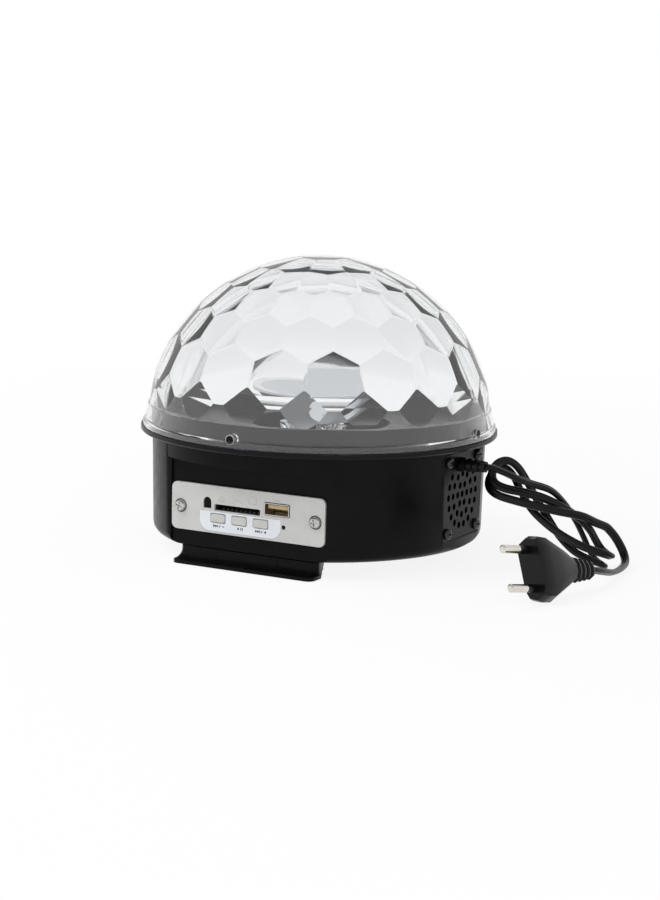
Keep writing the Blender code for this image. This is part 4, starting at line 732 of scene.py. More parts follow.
def turned(profile, sides, material="black_plastic"):
    """A turned solid of a closed profile of (radius, height); a point of no radius is a pole."""
    bm = bmesh.new()
    rows = []
    for radius, height in profile:
        places = [(0, 0)] if radius == 0 else ring(radius, sides)
        rows.append([bm.verts.new((x, y, height)) for x, y in places])
    for lower, upper in zip(rows, rows[1:] + rows[:1]):
        if len(lower) == 1 and len(upper) == 1:
            continue
        for k in range(sides):
            follow = (k + 1) % sides
            corners = [lower[k % len(lower)], lower[follow % len(lower)]]
            corners += [upper[follow % len(upper)], upper[k % len(upper)]]
            bm.faces.new(list(dict.fromkeys(corners)))
    return as_object(bm, material)


def band(inside, outside, low, high):
    """The profile of a flat ring, or of a disc where there is no radius inside."""
    return [(inside, low), (outside, low), (outside, high), (inside, high)]


def put(thing, place=(0, 0, 0), turn=None):
    """Places the object; a turn of FRONT, RIGHT, REAR or LEFT lays its +Z outwards on that side."""
    thing.location = place
    if turn is not None:
        thing.rotation_euler = facing(turn)
    return thing


def combine(target, tool, operation):
    """Cuts or joins the tool into the target for good, and removes the tool."""
    modifier = target.modifiers.new(operation.lower(), "BOOLEAN")
    modifier.operation = operation
    modifier.solver = "EXACT"
    modifier.object = tool
    bpy.context.view_layer.update()
    graph = bpy.context.evaluated_depsgraph_get()
    result = bpy.data.meshes.new_from_object(target.evaluated_get(graph))
    before = target.data
    target.modifiers.clear()
    target.data = result
    bpy.data.objects.remove(tool)
    bpy.data.meshes.remove(before)
    return target


def cut(target, tool):
    return combine(target, tool, "DIFFERENCE")


def join(target, tool):
    return combine(target, tool, "UNION")


def punch(target, outline, near, far, place=(0, 0, 0), turn=None):
    """Cuts a straight hole of this outline, from one depth along its axis to the other."""
    return cut(target, put(prism(outline, near, far), place, turn))


def drill(target, radius, near, far, place=(0, 0, 0), turn=None, sides=SMALL_SIDES):
    """Cuts a round hole, upright or square to a side."""
    return punch(target, ring(radius, sides), near, far, place, turn)


def stud(target, radius, near, far, place=(0, 0, 0), turn=None):
    """Joins a round pillar, upright or square to a side."""
    return join(target, put(prism(ring(radius), near, far), place, turn))


def edit(thing, change):
    """Lets the change work on the object's mesh."""
    bm = bmesh.new()
    bm.from_mesh(thing.data)
    change(bm)
    bm.to_mesh(thing.data)
    bm.free()


def weld(thing):
    """Merges the points that the cuts left all but on each other."""
    edit(thing, lambda bm: bmesh.ops.remove_doubles(bm, verts=bm.verts, dist=WELD))


def shade(thing, degrees=35.0):
    thing.data.shade_smooth()
    thing.data.set_sharp_from_angle(angle=math.radians(degrees))
    return thing


def settle(thing, name):
    """Names the piece and puts its place into its points."""
    thing.name = thing.data.name = name
    bpy.context.view_layer.update()
    thing.data.transform(thing.matrix_world)
    thing.matrix_world = Matrix.Identity(4)


def dress(thing, node, smooth=True):
    """The finer piece stands for its node and rides on its body."""
    if smooth:
        shade(thing)
    settle(thing, "fine_" + node)
    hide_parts(node)
    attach(thing, BODY_OF[node])
    return thing


def detail(thing, name, node, slot=None):
    """A further piece on a node: it rides with it."""
    settle(thing, name)
    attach(thing, BODY_OF[node])


# Housing and feet


def screw(node, length, place, turn=None, material="steel"):
    """A pan-head screw with a cross recess; with no side to face it points upwards."""
    profile = [(SCREW_HEAD * out, SCREW_HEAD_HEIGHT * up) for out, up in SCREW_TOP]
    profile += [(SCREW_SHANK, 0), (SCREW_SHANK, SCREW_SHANK - length), (0, -length)]
    made = turned(profile, SCREW_SIDES, material)
    for long, short in ((CROSS_LENGTH / 2, CROSS_WIDTH / 2), (CROSS_WIDTH / 2, CROSS_LENGTH / 2)):
        low = (-long, -short, SCREW_HEAD_HEIGHT - CROSS_DEPTH)
        cut(made, box(low, (long, short, SCREW_HEAD_HEIGHT + OVERRUN)))
    spin = math.radians(sum(map(ord, node)) % 90)
    made.data.transform(Matrix.Rotation(spin, 4, "Z"))
    put(made, place, turn)
    if turn is None:
        made.rotation_euler = Euler((math.radians(180.0), 0, 0))
    return dress(made, node)


def foot_ring(flare, inset, height):
    """The foot's outline at a height, run out by a share of its flare or set in by its wall."""
    wide = FOOT_WIDTH / 2 + FOOT_SPREAD * flare - inset
    narrow = FOOT_BACK_WIDTH / 2 - inset
    front = FOOT_DEPTH / 2 + FOOT_FLARE * flare - inset
    back = FOOT_DEPTH / 2 - inset
    corner = FOOT_CORNER + FOOT_SPREAD * flare - inset
    bend = FOOT_STRAIGHT - FOOT_DEPTH / 2
    outline = arc((corner - wide, corner - front), corner, 180.0, 270.0, 3)
    outline += arc((wide - corner, corner - front), corner, 270.0, 360.0, 3)
    outline.append((wide, bend))
    outline += arc((narrow - corner, back - corner), corner, 0.0, 90.0, 3)
    outline += arc((corner - narrow, back - corner), corner, 90.0, 180.0, 3)
    outline.append((-wide, bend))
    return [(x, y, height) for x, y in outline]


def foot(side):
    """An inverted tray: open below, with a concave flare that runs out into a flat lip."""
    rings = [foot_ring(0, 0, FOOT_HEIGHT)]
    for flare, rise in arc((1, 1), 1, 180.0, FOOT_FLARE_END, 4):
        rings.append(foot_ring(flare, 0, FOOT_LIP + FOOT_FLARE_HEIGHT * rise))
    rings += [foot_ring(1, 0, FOOT_LIP), foot_ring(1, 0, 0), foot_ring(0, FOOT_WALL, 0)]
    made = loft([*rings, foot_ring(0, FOOT_WALL, FOOT_HEIGHT - FOOT_WALL)])
    wall = -FOOT_DEPTH / 2
    for place in (-FOOT_GUSSET_PLACE, FOOT_GUSSET_PLACE):
        left, right = place - FOOT_GUSSET / 2, place + FOOT_GUSSET / 2
        sloped = []
        for reach, height in ((FOOT_GUSSET_REACH, FOOT_LIP / 2), (FIT, FOOT_GUSSET_TOP)):
            outline = rectangle(left, wall - reach, right, wall + FOOT_WALL / 2)
            sloped.append([(x, y, height) for x, y in outline])
        join(made, loft(sloped))
    seat = FOOT_FRONT - FOOT_DEPTH / 2
    for place in (-POST_ACROSS, POST_ACROSS):
        drill(made, SCREW_HOLE, 0, HOUSING_BOTTOM, (place, seat - POST_BACK, 0))
    made.location = (0, side * seat, 0)
    if side > 0:
        made.rotation_euler = Euler((0, 0, math.radians(180.0)))
    return made


def block(depth, top, turn):
    """A block outside a flat at this depth, up to this height."""
    return put(prism(rectangle(-OUTSIDE, -OUTSIDE, OUTSIDE, top), depth, OUTSIDE), turn=turn)


def flatten(solid, front, front_top, side, side_top):
    for turn in (FRONT, REAR):
        cut(solid, block(front, front_top, turn))
    for turn in (RIGHT, LEFT):
        cut(solid, block(side, side_top, turn))


def shell_profile(inset, bottom, top):
    """The housing's turned profile, set in by a wall, with its round bottom edge."""
    edge = HOUSING_EDGE - inset
    low = HOUSING_BOTTOM_RADIUS - inset - edge
    corner = arc((low, bottom + edge), edge, -90.0, 0.0, 4)
    return [(0, bottom), *corner, (HOUSING_TOP_RADIUS - inset, top), (0, top)]


def base_housing():
    front_top = HOUSING_TOP - FRONT_LEDGE_DROP
    above = HOUSING_TOP + OVERRUN
    made = turned(shell_profile(0, HOUSING_BOTTOM, HOUSING_TOP), BODY_SIDES)
    flatten(made, FRONT_FLAT, front_top, SIDE_FLAT, HOUSING_TOP - SIDE_LEDGE_DROP)
    inside = turned(shell_profile(HOUSING_WALL, HOUSING_FLOOR, above), BODY_SIDES)
    flatten(inside, FRONT_INSIDE, front_top + HOUSING_WALL, SIDE_INSIDE, above + OVERRUN)
    cut(made, inside)
    chord = math.sqrt(HOUSING_BOTTOM_RADIUS**2 - FRONT_FLAT**2) - FRONT_BEZEL
    recess = rectangle(-chord, 0, chord, front_top - FRONT_BEZEL)
    for turn in (FRONT, REAR):
        punch(made, recess, FRONT_WALL, OUTSIDE, turn=turn)
    front_openings(made)
    side_openings(made)
    floor_bosses(made)
    return made


def front_openings(made):
    """The window behind the panel, its screw holes and the bosses of the control board."""
    depths = (FRONT_INSIDE - OVERRUN, FRONT_WALL + OVERRUN)
    boss = (BOARD_FRONT + FIT, FRONT_INSIDE + HOUSING_WALL / 2)
    window = rounded(PANEL_WINDOW_WIDTH, PANEL_WINDOW_HEIGHT, PANEL_CORNER, 3)
    punch(made, window, *depths, on_panel(0), FRONT)
    for side in (-1, 1):
        drill(made, SCREW_HOLE, *depths, on_panel(side * PANEL_SCREW_PLACE), FRONT)
        for end in (-1, 1):
            stud(made, BOSS_RADIUS, *boss, on_panel(side * BOSS_PLACE, end * BOSS_RISE), FRONT)


def grille_screw_places():
    """The places across a side and up from the floor."""
    return [(x, GRILLE_CENTRE + z) for x, z, _ in four(GRILLE_SCREW_ACROSS, GRILLE_SCREW_UP)]


def outlet(depth):
    """The point of the cord's axis at this depth out from the middle."""
    return outward(depth, RIGHT, OUTLET_ACROSS, OUTLET_HEIGHT)


def side_openings(made):
    """On each side the seat of the grille, the speaker's hole and the screw holes."""
    seat = rounded(GRILLE_WIDTH, GRILLE_HEIGHT, GRILLE_CORNER, 2, FIT)
    through = (SIDE_INSIDE - OVERRUN, SIDE_FLAT + OVERRUN)
    for turn in (RIGHT, LEFT):
        punch(made, seat, SIDE_SEAT, OUTSIDE, (0, 0, GRILLE_CENTRE), turn)
        drill(made, SPEAKER_HOLE, *through, (0, 0, SPEAKER_CENTRE), turn, SPEAKER_SIDES)
        for across, height in grille_screw_places():
            drill(made, SCREW_HOLE, *through, outward(0, turn, across, height), turn)
    drill(made, RELIEF_NECK + FIT, *through, outlet(0), RIGHT)


def floor_bosses(made):
    for place in four(POWER_WIDTH / 2 - POWER_BOSS_INSET, POWER_DEPTH / 2 - POWER_BOSS_INSET):
        low = HOUSING_FLOOR - HOUSING_WALL / 2
        stud(made, BOSS_RADIUS, low, HOUSING_FLOOR + POWER_BOSS_HEIGHT, place)
    for place in four(POST_ACROSS, POST_BACK):
        drill(made, SCREW_HOLE, HOUSING_BOTTOM - OVERRUN, HOUSING_FLOOR + OVERRUN, place)


# Deck and dome


def lamp_deck():
    """Flange, upstand, plate and lamp well in one turned wall, with a locating ring and four posts."""
    radius = HOUSING_TOP_RADIUS - HOUSING_WALL - FIT * 2
    mouth = radius - DECK_RING_WALL * 2
    bevel = DECK_FLANGE / 4
    upstand = DECK_TOP + UPSTAND_HEIGHT
    well = WELL_RADIUS + WELL_WALL
    profile = [(0, WELL_BOTTOM), (well, WELL_BOTTOM), (well, DECK_TOP)]
    profile += [(mouth, DECK_TOP), (mouth, DECK_BOTTOM)]
    profile += [(DECK_RADIUS - bevel, DECK_BOTTOM), (DECK_RADIUS, DECK_BOTTOM + bevel)]
    profile += [(DECK_RADIUS, DECK_TOP), (UPSTAND_RADIUS, DECK_TOP), (UPSTAND_RADIUS, upstand)]
    profile += [(UPSTAND_INSIDE, upstand), (UPSTAND_INSIDE, PLATE_TOP), (WELL_RADIUS, PLATE_TOP)]
    profile.append((WELL_RADIUS, WELL_FLOOR))
    made = turned([*profile, (0, WELL_FLOOR)], BODY_SIDES, "dark_deck")
    join(made, locating_ring(radius))
    foot_of_post = HOUSING_FLOOR + FIT
    for place in four(POST_ACROSS, POST_BACK):
        stud(made, POST_RADIUS, foot_of_post, DECK_TOP + DECK_PLATE / 2, place)
        drill(made, SCREW_HOLE, foot_of_post - OVERRUN, foot_of_post + POST_BORE_DEPTH, place)
    for turn in around(DOME_PEGS):
        reach = (UPSTAND_INSIDE - OVERRUN, UPSTAND_RADIUS + OVERRUN)
        drill(made, DOME_PEG_RADIUS + FIT, *reach, (0, 0, PEG_LEVEL), turn)
    drill(made, SHAFT_RADIUS + FIT, WELL_BOTTOM - OVERRUN, WELL_FLOOR + OVERRUN)
    return made


def locating_ring(radius):
    """The ring that drops into the housing's mouth, cut flat with the housing's sides."""
    low = DECK_BOTTOM - DECK_RING_DEPTH
    high = DECK_BOTTOM + DECK_FLANGE / 2
    inside = radius - DECK_RING_WALL
    made = turned([(radius, low), (radius, high), (inside, high), (inside, low)], BODY_SIDES)
    for turn in (RIGHT, LEFT):
        cut(made, block(SIDE_INSIDE - FIT, high + OVERRUN, turn))
    return made


def over_shoulder(inset):
    """The smooth profile from the skirt over the shoulder to the top, set in by a wall."""
    shoulder = DOME_BOTTOM + DOME_SHOULDER
    profile = [(DOME_SKIRT_TOP - DOME_STEP - inset, SKIRT_LEVEL)]
    profile.append((DOME_SHOULDER_RADIUS - inset, shoulder))
    start = math.degrees(math.asin((shoulder - DOME_CENTRE) / DOME_RADIUS)) + DOME_ARC_START
    profile += arc((0, DOME_CENTRE), DOME_RADIUS - inset, start, DOME_ARC_END, DOME_STEPS)
    return [*profile, (0, DOME_CENTRE + DOME_RADIUS - inset)]


def facet_planes():
    """Each flat inside the dome as its outward direction and its distance from the dome's centre."""
    inside = DOME_RADIUS - DOME_WALL
    step = 360.0 / FACETS_PER_RING
    first = FACET_TURN - 90.0
    planes = []
    for tilt, shift, depth in FACET_RINGS:
        for k in range(FACETS_PER_RING):
            planes.append((first + (k + shift) * step, tilt, inside - depth))
    for k in range(FACETS_PER_RING // 2):
        planes.append((first + (2 * k + 1 / 2) * step, CROWN_TILT, inside - CROWN_DEPTH))
    return [*planes, (0.0, 90.0, inside - CAP_DEPTH)]


def cut_facets(bm):
    """Slices the solid along every facet plane and closes each slice with one flat face."""
    centre = Vector((0, 0, DOME_CENTRE))
    for turn, tilt, distance in facet_planes():
        level, rise = arm(1, tilt)
        direction = Vector((*arm(level, turn), rise))
        everything = bm.verts[:] + bm.edges[:] + bm.faces[:]
        plane = {"plane_co": centre + direction * distance, "plane_no": direction}
        sliced = bmesh.ops.bisect_plane(bm, geom=everything, dist=WELD / 10, clear_outer=True, **plane)
        edges = [edge for edge in sliced["geom_cut"] if isinstance(edge, bmesh.types.BMEdge)]
        if edges:
            bmesh.ops.edgeloop_fill(bm, edges=edges)


def soften_facets(bm):
    """Rounds the edges between the flat facets, as the moulding tool leaves them."""
    above = DOME_BOTTOM + DOME_SHOULDER / 2
    flats = {f for f in bm.faces if f.calc_area() > FACET_LEAST and f.calc_center_median().z > above}
    edges = [e for e in bm.edges if len(e.link_faces) == 2 and flats.issuperset(e.link_faces)]
    size = {"offset": FACET_EDGE, "offset_type": "OFFSET", "segments": FACET_EDGE_STEPS}
    bmesh.ops.bevel(bm, geom=edges, affect="EDGES", profile=0.5, clamp_overlap=True, **size)


def dome_hollow():
    """The inside of the dome, one wall in from its smooth outside, with the facets on it."""
    below = DOME_BOTTOM - OVERRUN
    straight = DOME_SKIRT_BOTTOM - DOME_WALL
    profile = [(0, below), (straight, below), (straight, DOME_BOTTOM + DOME_RIM_HEIGHT)]
    made = turned(profile + over_shoulder(DOME_WALL), DOME_SIDES)
    edit(made, cut_facets)
    weld(made)
    edit(made, soften_facets)
    return made


def dome():
    """A clear cover, smooth outside, with flat facets inside that are each shaded on their own."""
    rim = DOME_BOTTOM + DOME_RIM_HEIGHT
    profile = [(0, DOME_BOTTOM), (DOME_RIM_RADIUS, DOME_BOTTOM)]
    profile += [(DOME_RIM_RADIUS, DOME_BOTTOM + DOME_RIM_HEIGHT * 3 / 4), (DOME_SKIRT_BOTTOM, rim)]
    profile.append((DOME_SKIRT_TOP, SKIRT_LEVEL))
    made = turned(profile + over_shoulder(0), DOME_SIDES, "clear_plastic")
    cut(made, dome_hollow())
    for turn in around(DOME_PEGS):
        depths = (UPSTAND_RADIUS - DOME_PEG_REACH, DOME_SKIRT_TOP - DOME_WALL / 2)
        stud(made, DOME_PEG_RADIUS, *depths, (0, 0, PEG_LEVEL), turn)
    weld(made)
    shade(made, DOME_SHARP)
    for face in made.data.polygons:
        if face.area > FACET_LEAST and face.center.z > SKIRT_LEVEL:
            face.use_smooth = False
    return made


def peg_ends():
    """A light ring that paints the highlight on each dome peg's rim, and a dark end on each peg."""
    for k, turn in enumerate(around(DOME_PEGS)):
        place = outward(PEG_RING_PLACE, turn, 0, PEG_LEVEL)
        profile = band(PEG_RING_INSIDE, PEG_RING_OUTSIDE, 0, PEG_RING_DEPTH)
        # The light ring paints the highlight on the peg's rim
        edge = turned(profile, SCREW_SIDES, "painted_rim_highlight")
        detail(put(edge, place, turn), f"peg_highlight_ring_{k + 1}", "dome")
        end = turned(band(0, PEG_RING_INSIDE, 0, PEG_RING_DEPTH), SCREW_SIDES, "print_dark_and_painted_shade")
        detail(put(end, place, turn), f"peg_end_{k + 1}", "lamp_deck", "black_plastic")


# Front panel


def button_outline(growth):
    return rounded(BUTTON_WIDTH, BUTTON_HEIGHT, BUTTON_CORNER, growth=growth)


def button_places():
    return [on_panel(BUTTON_MIDDLE + k * BUTTON_SPACING, -BUTTON_DROP) for k in (-1, 0, 1)]


def receiver_window(growth):
    """A window with a round top, grown by a clearance."""
    half = RECEIVER_WIDTH / 2 + growth
    low = -RECEIVER_HEIGHT / 2 - growth
    top = arc((0, RECEIVER_HEIGHT / 2 - RECEIVER_WIDTH / 2), half, 0.0, 180.0, 6)
    return [(-half, low), (half, low), *top]


def front_panel():
    """A silver plate with its openings, and a groove round each screw with a dark ring in it that
    paints the groove's shade.
    """
    outline = rounded(PANEL_WIDTH, PANEL_HEIGHT, PANEL_CORNER, 4)
    made = put(prism(outline, PANEL_BACK, PANEL_FACE, "silver_panel"), on_panel(0), FRONT)
    for place in button_places():
        punch(made, button_outline(FIT), *PANEL_CUT, place, FRONT)
    card = rounded(CARD_SLOT_WIDTH, CARD_SLOT_HEIGHT, CARD_SLOT_HEIGHT / 8)
    usb = rounded(USB_WIDTH, USB_HEIGHT, USB_WALL, growth=FIT)
    for hole, place in ((card, CARD_AT), (usb, USB_AT), (receiver_window(FIT), RECEIVER_AT)):
        punch(made, hole, *PANEL_CUT, place, FRONT)
    drill(made, LED_RADIUS + FIT, *PANEL_CUT, LED_AT, FRONT)
    for side in (-1, 1):
        drill(made, SCREW_HOLE, *PANEL_CUT, on_panel(side * PANEL_SCREW_PLACE), FRONT)
    shade(made)
    for side in (-1, 1):
        place = outward(PANEL_FACE - GROOVE_DEPTH, FRONT, side * PANEL_SCREW_PLACE, PANEL_CENTRE)
        groove = band(GROOVE_INSIDE, GROOVE_OUTSIDE, 0, GROOVE_DEPTH + OVERRUN)
        cut(made, put(turned(groove, SCREW_SIDES), place, FRONT))
        # A dark ring in the groove paints the shade of the gap round the screw head
        painted_shadow = band(GROOVE_INSIDE, GROOVE_OUTSIDE, 0, SHADOW_RING_HEIGHT)
        painted_shadow = put(turned(painted_shadow, SCREW_SIDES, "print_dark_and_painted_shade"), place, FRONT)
        detail(painted_shadow, "screw_washer", "front_panel")
    return made


def button(place):
    """A cap through the panel, a flange behind it and a stem that ends short of its switch."""
    face = PANEL_FACE + BUTTON_PROUD
    edge = BUTTON_CORNER / 2
    within = BEHIND_PANEL - BUTTON_FLANGE_THICKNESS / 2
    cap = button_outline(0)
    sections = ((cap, within), (cap, face - edge), (smaller(cap, edge), face))
    made = loft([[(x, y, z) for x, y in outline] for outline, z in sections], "grey_button")
    flange = (BEHIND_PANEL - BUTTON_FLANGE_THICKNESS, BEHIND_PANEL)
    join(made, prism(button_outline(BUTTON_FLANGE), *flange))
    stud(made, BUTTON_STEM_RADIUS, BOARD_FRONT + SWITCH_HEIGHT + BUTTON_TRAVEL + FIT, within)
    return put(made, place, FRONT)


def usb_socket():
    """A folded steel shell, open in front, closed behind."""
    face = PANEL_FACE + USB_PROUD
    made = prism(rounded(USB_WIDTH, USB_HEIGHT, USB_WALL), ON_BOARD, face, "steel")
    cavity = rounded(USB_WIDTH, USB_HEIGHT, USB_WALL / 2, growth=-USB_WALL)
    punch(made, cavity, ON_BOARD + USB_WALL, face + OVERRUN)
    return put(made, USB_AT, FRONT)


def usb_tongue():
    """The insulator: a block in the back of the shell and the tongue that carries the contacts."""
    plug = rounded(USB_WIDTH, USB_HEIGHT, USB_WALL / 2, growth=-USB_WALL - FIT)
    made = prism(plug, USB_REAR, USB_REAR + USB_BLOCK_DEPTH, "tan_plastic")
    half = USB_TONGUE_WIDTH / 2
    low = (-half, USB_TONGUE_RISE - USB_TONGUE_THICKNESS / 2, USB_REAR + USB_BLOCK_DEPTH / 2)
    high = (half, USB_TONGUE_RISE + USB_TONGUE_THICKNESS / 2, PANEL_FACE - USB_TONGUE_SETBACK)
    join(made, box(low, high))
    return put(made, USB_AT, FRONT)


def card_socket():
    """A flat sleeve behind the card slot."""
    sleeve = rounded(CARD_CAVITY_WIDTH, CARD_CAVITY_HEIGHT, CARD_WALL / 2, growth=CARD_WALL)
    # The black steel here paints the shade inside the card slot
    made = prism(sleeve, ON_BOARD, CARD_FACE, "black_steel_and_slot_shade")
    cavity = rounded(CARD_CAVITY_WIDTH, CARD_CAVITY_HEIGHT, CARD_WALL / 3)
    punch(made, cavity, ON_BOARD + CARD_WALL, CARD_FACE + OVERRUN)
    return put(made, CARD_AT, FRONT)


def strips(places, half, low, high, material):
    """Contact strips side by side, each between two points (height, depth)."""
    made = None
    for place in places:
        strip = box((place - half, *low), (place + half, *high), material)
        made = join(made, strip) if made else strip
    return made


def usb_contacts():
    """Four contact strips under the tongue."""
    face = USB_TONGUE_RISE - USB_TONGUE_THICKNESS / 2
    low = (face - USB_STRIP_PROUD, USB_REAR + USB_BLOCK_DEPTH)
    high = (face + USB_STRIP_SUNK, PANEL_FACE - USB_TONGUE_SETBACK - USB_STRIP_SETBACK)
    made = strips(USB_STRIPS, USB_STRIP_HALF, low, high, "nickel")
    detail(put(made, USB_AT, FRONT), "usb_contacts", "usb_tongue", "nickel")


def card_contacts():
    """Nine contact springs on the floor of the card socket."""
    floor = -CARD_CAVITY_HEIGHT / 2
    rear, front = (CARD_FACE - end for end in CARD_STRIP_ENDS)
    low, high = (floor - CARD_STRIP_SUNK, rear), (floor + CARD_STRIP_PROUD, front)
    places = [(k - CARD_STRIPS // 2) * CARD_STRIP_PITCH for k in range(CARD_STRIPS)]
    # Their darkened nickel paints the shade inside the slot
    made = strips(places, CARD_STRIP_HALF, low, high, "nickel_in_painted_shade")
    detail(put(made, CARD_AT, FRONT), "card_contacts", "card_socket", "nickel")


def legs(made, count, far):
    """Thin legs from the board to a component, side by side."""
    half = LEG_WIDTH / 2
    for k in range(count):
        middle = (k - (count - 1) / 2) * LEG_SPACING
        join(made, box((middle - half, -half, ON_BOARD), (middle + half, half, far)))


def ir_receiver():
    """A moulded receiver whose round-topped lens fills the panel's window."""
    half = RECEIVER_BODY / 2
    rear = BEHIND_PANEL - RECEIVER_DEPTH
    made = box((-half, -half, rear), (half, half, BEHIND_PANEL), "dark_glass")
    lens = (BEHIND_PANEL - RECEIVER_DEPTH / 2, PANEL_FACE - PANEL_THICKNESS / 3)
    join(made, prism(receiver_window(0), *lens))
    legs(made, 3, rear + OVERRUN)
    return put(made, RECEIVER_AT, FRONT)


def indicator_led():
    tip = PANEL_FACE + LED_PROUD
    base = tip - LED_LENGTH
    rim = LED_FLANGE - LED_RADIUS
    collar = base + 2 * rim
    profile = [(0, base), (LED_FLANGE, base), (LED_FLANGE, collar), (LED_RADIUS, collar)]
    profile += arc((0, tip - LED_RADIUS), LED_RADIUS, 0.0, 70.0, 4)
    made = turned([*profile, (0, tip)], SMALL_SIDES, "print_dark_and_painted_shade")
    legs(made, 2, base + rim)
    return put(made, LED_AT, FRONT)


# Print on the panel


def printed(outlines, material, lift):
    """Flat print on the panel's face, one thin plate for each outline."""
    bm = bmesh.new()
    for outline in outlines:
        levels = (PANEL_FACE - PRINT_LIFT, PANEL_FACE + lift)
        skin(bm, [[(x, y, z) for x, y in outline] for z in levels])
    return put(as_object(bm, material), turn=FRONT)


def field_outline(growth):
    left, right = FIELD_LEFT - growth, FIELD_RIGHT + growth
    low, high = FIELD_BOTTOM - growth, FIELD_TOP + growth
    corner = FIELD_CORNER + growth
    outline = [(right, high), (left, high)]
    outline += arc((left + corner, low + corner), corner, 180.0, 270.0, 10)
    return outline + arc((right - corner, low + corner), corner, 270.0, 360.0, 10)


def bar(x):
    half = SIGN_HEIGHT / 2
    return rectangle(x, SIGN_LEVEL - half, x + SIGN_STROKE, SIGN_LEVEL + half)


def triangle(x, width):
    """A triangle from x that points the way of its width."""
    half = SIGN_HEIGHT / 2
    outline = [(x, SIGN_LEVEL - half), (x + width, SIGN_LEVEL), (x, SIGN_LEVEL + half)]
    return outline if width > 0 else outline[::-1]


def dash(x, y, width, height):
    return rectangle(x - width / 2, y - height / 2, x + width / 2, y + height / 2)


def slash_and_dash(x):
    low, high = SIGN_LEVEL - SIGN_HEIGHT / 2, SIGN_LEVEL + SIGN_HEIGHT / 2
    slash = [(x + step, y) for step, y in zip(SLASH_STEPS, (low, low, high, high))]
    return [slash, dash(x + DASH_STEP, SIGN_LEVEL, DASH_WIDTH, SIGN_STROKE)]


def signs():
    """Generic transport signs under the three buttons."""
    back, play, forward = SIGN_PLACES
    arrow = SIGN_ARROW
    shapes = [bar(back), *(triangle(back + step, -arrow) for step in BACK_STEPS)]
    shapes += slash_and_dash(back)
    shapes += [triangle(play, PLAY_ARROW), *(bar(play + step) for step in PLAY_STEPS)]
    shapes += [triangle(forward, arrow), triangle(forward + arrow, arrow), bar(forward + FORWARD_STEP)]
    shapes += slash_and_dash(forward)
    for level in (SIGN_LEVEL + PLUS_RISE, SIGN_LEVEL - PLUS_RISE):
        shapes.append(dash(forward + DASH_STEP, level, SIGN_STROKE, PLUS_ARM))
    return shapes


def stroke(points):
    """Thin plates along a line of points."""
    shapes = []
    for (x, y), (u, v) in zip(points, points[1:]):
        length = math.hypot(u - x, v - y)
        a, b = -(v - y) / length * MARK_WIDTH / 2, (u - x) / length * MARK_WIDTH / 2
        shapes.append([(x - a, y - b), (u - a, v - b), (u + a, v + b), (x + a, y + b)])
    return shapes


def faint_marks():
    """Faint outlines over the slots: a triangle, a half round, a card and a plain bar."""
    lines = (MARK_TRIANGLE, arc(*MARK_HALF_ROUND), [*MARK_CARD, MARK_CARD[0]], MARK_BAR)
    return [plate for line in lines for plate in stroke(line)]


def panel_print():
    depths = (PANEL_FACE - OVERRUN, PANEL_FACE + OVERRUN)
    field = printed([field_outline(0)], "print_white", PRINT_LIFT)
    for place in button_places():
        punch(field, button_outline(FIT), *depths, place, FRONT)
    line = printed([field_outline(FIELD_LINE)], "print_grey", PRINT_LIFT / 2)
    punch(line, field_outline(0), *depths, turn=FRONT)
    symbols = printed(signs(), "print_dark_and_painted_shade", PRINT_LIFT * 3 / 2)
    marks = printed(faint_marks(), "print_grey", PRINT_LIFT / 2)
    for name, piece in (("field", field), ("line", line), ("symbols", symbols), ("marks", marks)):
        detail(piece, "panel_" + name, "front_panel")


# Speakers and lights


def grille(turn, has_cord):
    """A flat plate with holes on three rings; one hole gives way to the cord outlet."""
    near, far = SIDE_SEAT + FIT, SIDE_SEAT + FIT + GRILLE_THICKNESS
    through = (near - OVERRUN, far + OVERRUN)
    made = prism(rounded(GRILLE_WIDTH, GRILLE_HEIGHT, GRILLE_CORNER, 2), near, far)
    middle = (OUTLET_ACROSS, OUTLET_HEIGHT - GRILLE_CENTRE)
    for x, y in grille_holes():
        free = math.dist((x, y), middle) > GRILLE_HOLE + RELIEF_BASE + FIT
        if free or not has_cord:
            drill(made, GRILLE_HOLE, *through, (x, y, 0), sides=HOLE_SIDES)
    for across, height in grille_screw_places():
        drill(made, SCREW_HOLE, *through, (across, height - GRILLE_CENTRE, 0))
    if has_cord:
        drill(made, RELIEF_NECK + FIT, *through, (*middle, 0))
    return put(made, (0, 0, GRILLE_CENTRE), turn)


def grille_holes():
    """The middle hole and six more on each further ring."""
    places = [(0, 0)]
    for row in range(1, GRILLE_RINGS + 1):
        places += [arm(row * GRILLE_RING, 60.0 * k / row) for k in range(6 * row)]
    return places


def speaker_cone(turn):
    """The cone with a half-round surround outside and a dust cap over its neck."""
    sheet = CONE_SHEET
    rim = SPEAKER_HOLE - FIT
    front = -FIT - CONE_SETBACK - sheet
    roll = sheet * 2
    neck = front - CONE_DEPTH
    end = neck - CONE_NECK_LENGTH
    profile = [(rim, front + sheet / 2), (rim - roll / 2, front + sheet)]
    profile += [(rim - roll, front + sheet / 2), (CONE_NECK + sheet, neck + sheet)]
    profile.append((CONE_NECK / 2, neck + sheet * 2))
    profile += [(0, neck + sheet * 5 / 2), (0, neck + sheet), (CONE_NECK - sheet, neck + sheet / 2)]
    profile += [(CONE_NECK - sheet, end), (CONE_NECK, end), (CONE_NECK, neck)]
    profile += [(rim - roll, front - sheet / 2), (rim, front - sheet / 2)]
    made = turned(profile, SPEAKER_SIDES, "paper_cone")
    return put(made, outward(SIDE_INSIDE, turn, 0, SPEAKER_CENTRE), turn)


def led_board():
    low = WELL_FLOOR + FIT
    profile = band(LED_BOARD_BORE, LED_BOARD_RADIUS, low, low + LED_BOARD_THICKNESS)
    return turned(profile, SPEAKER_SIDES, "aluminium")


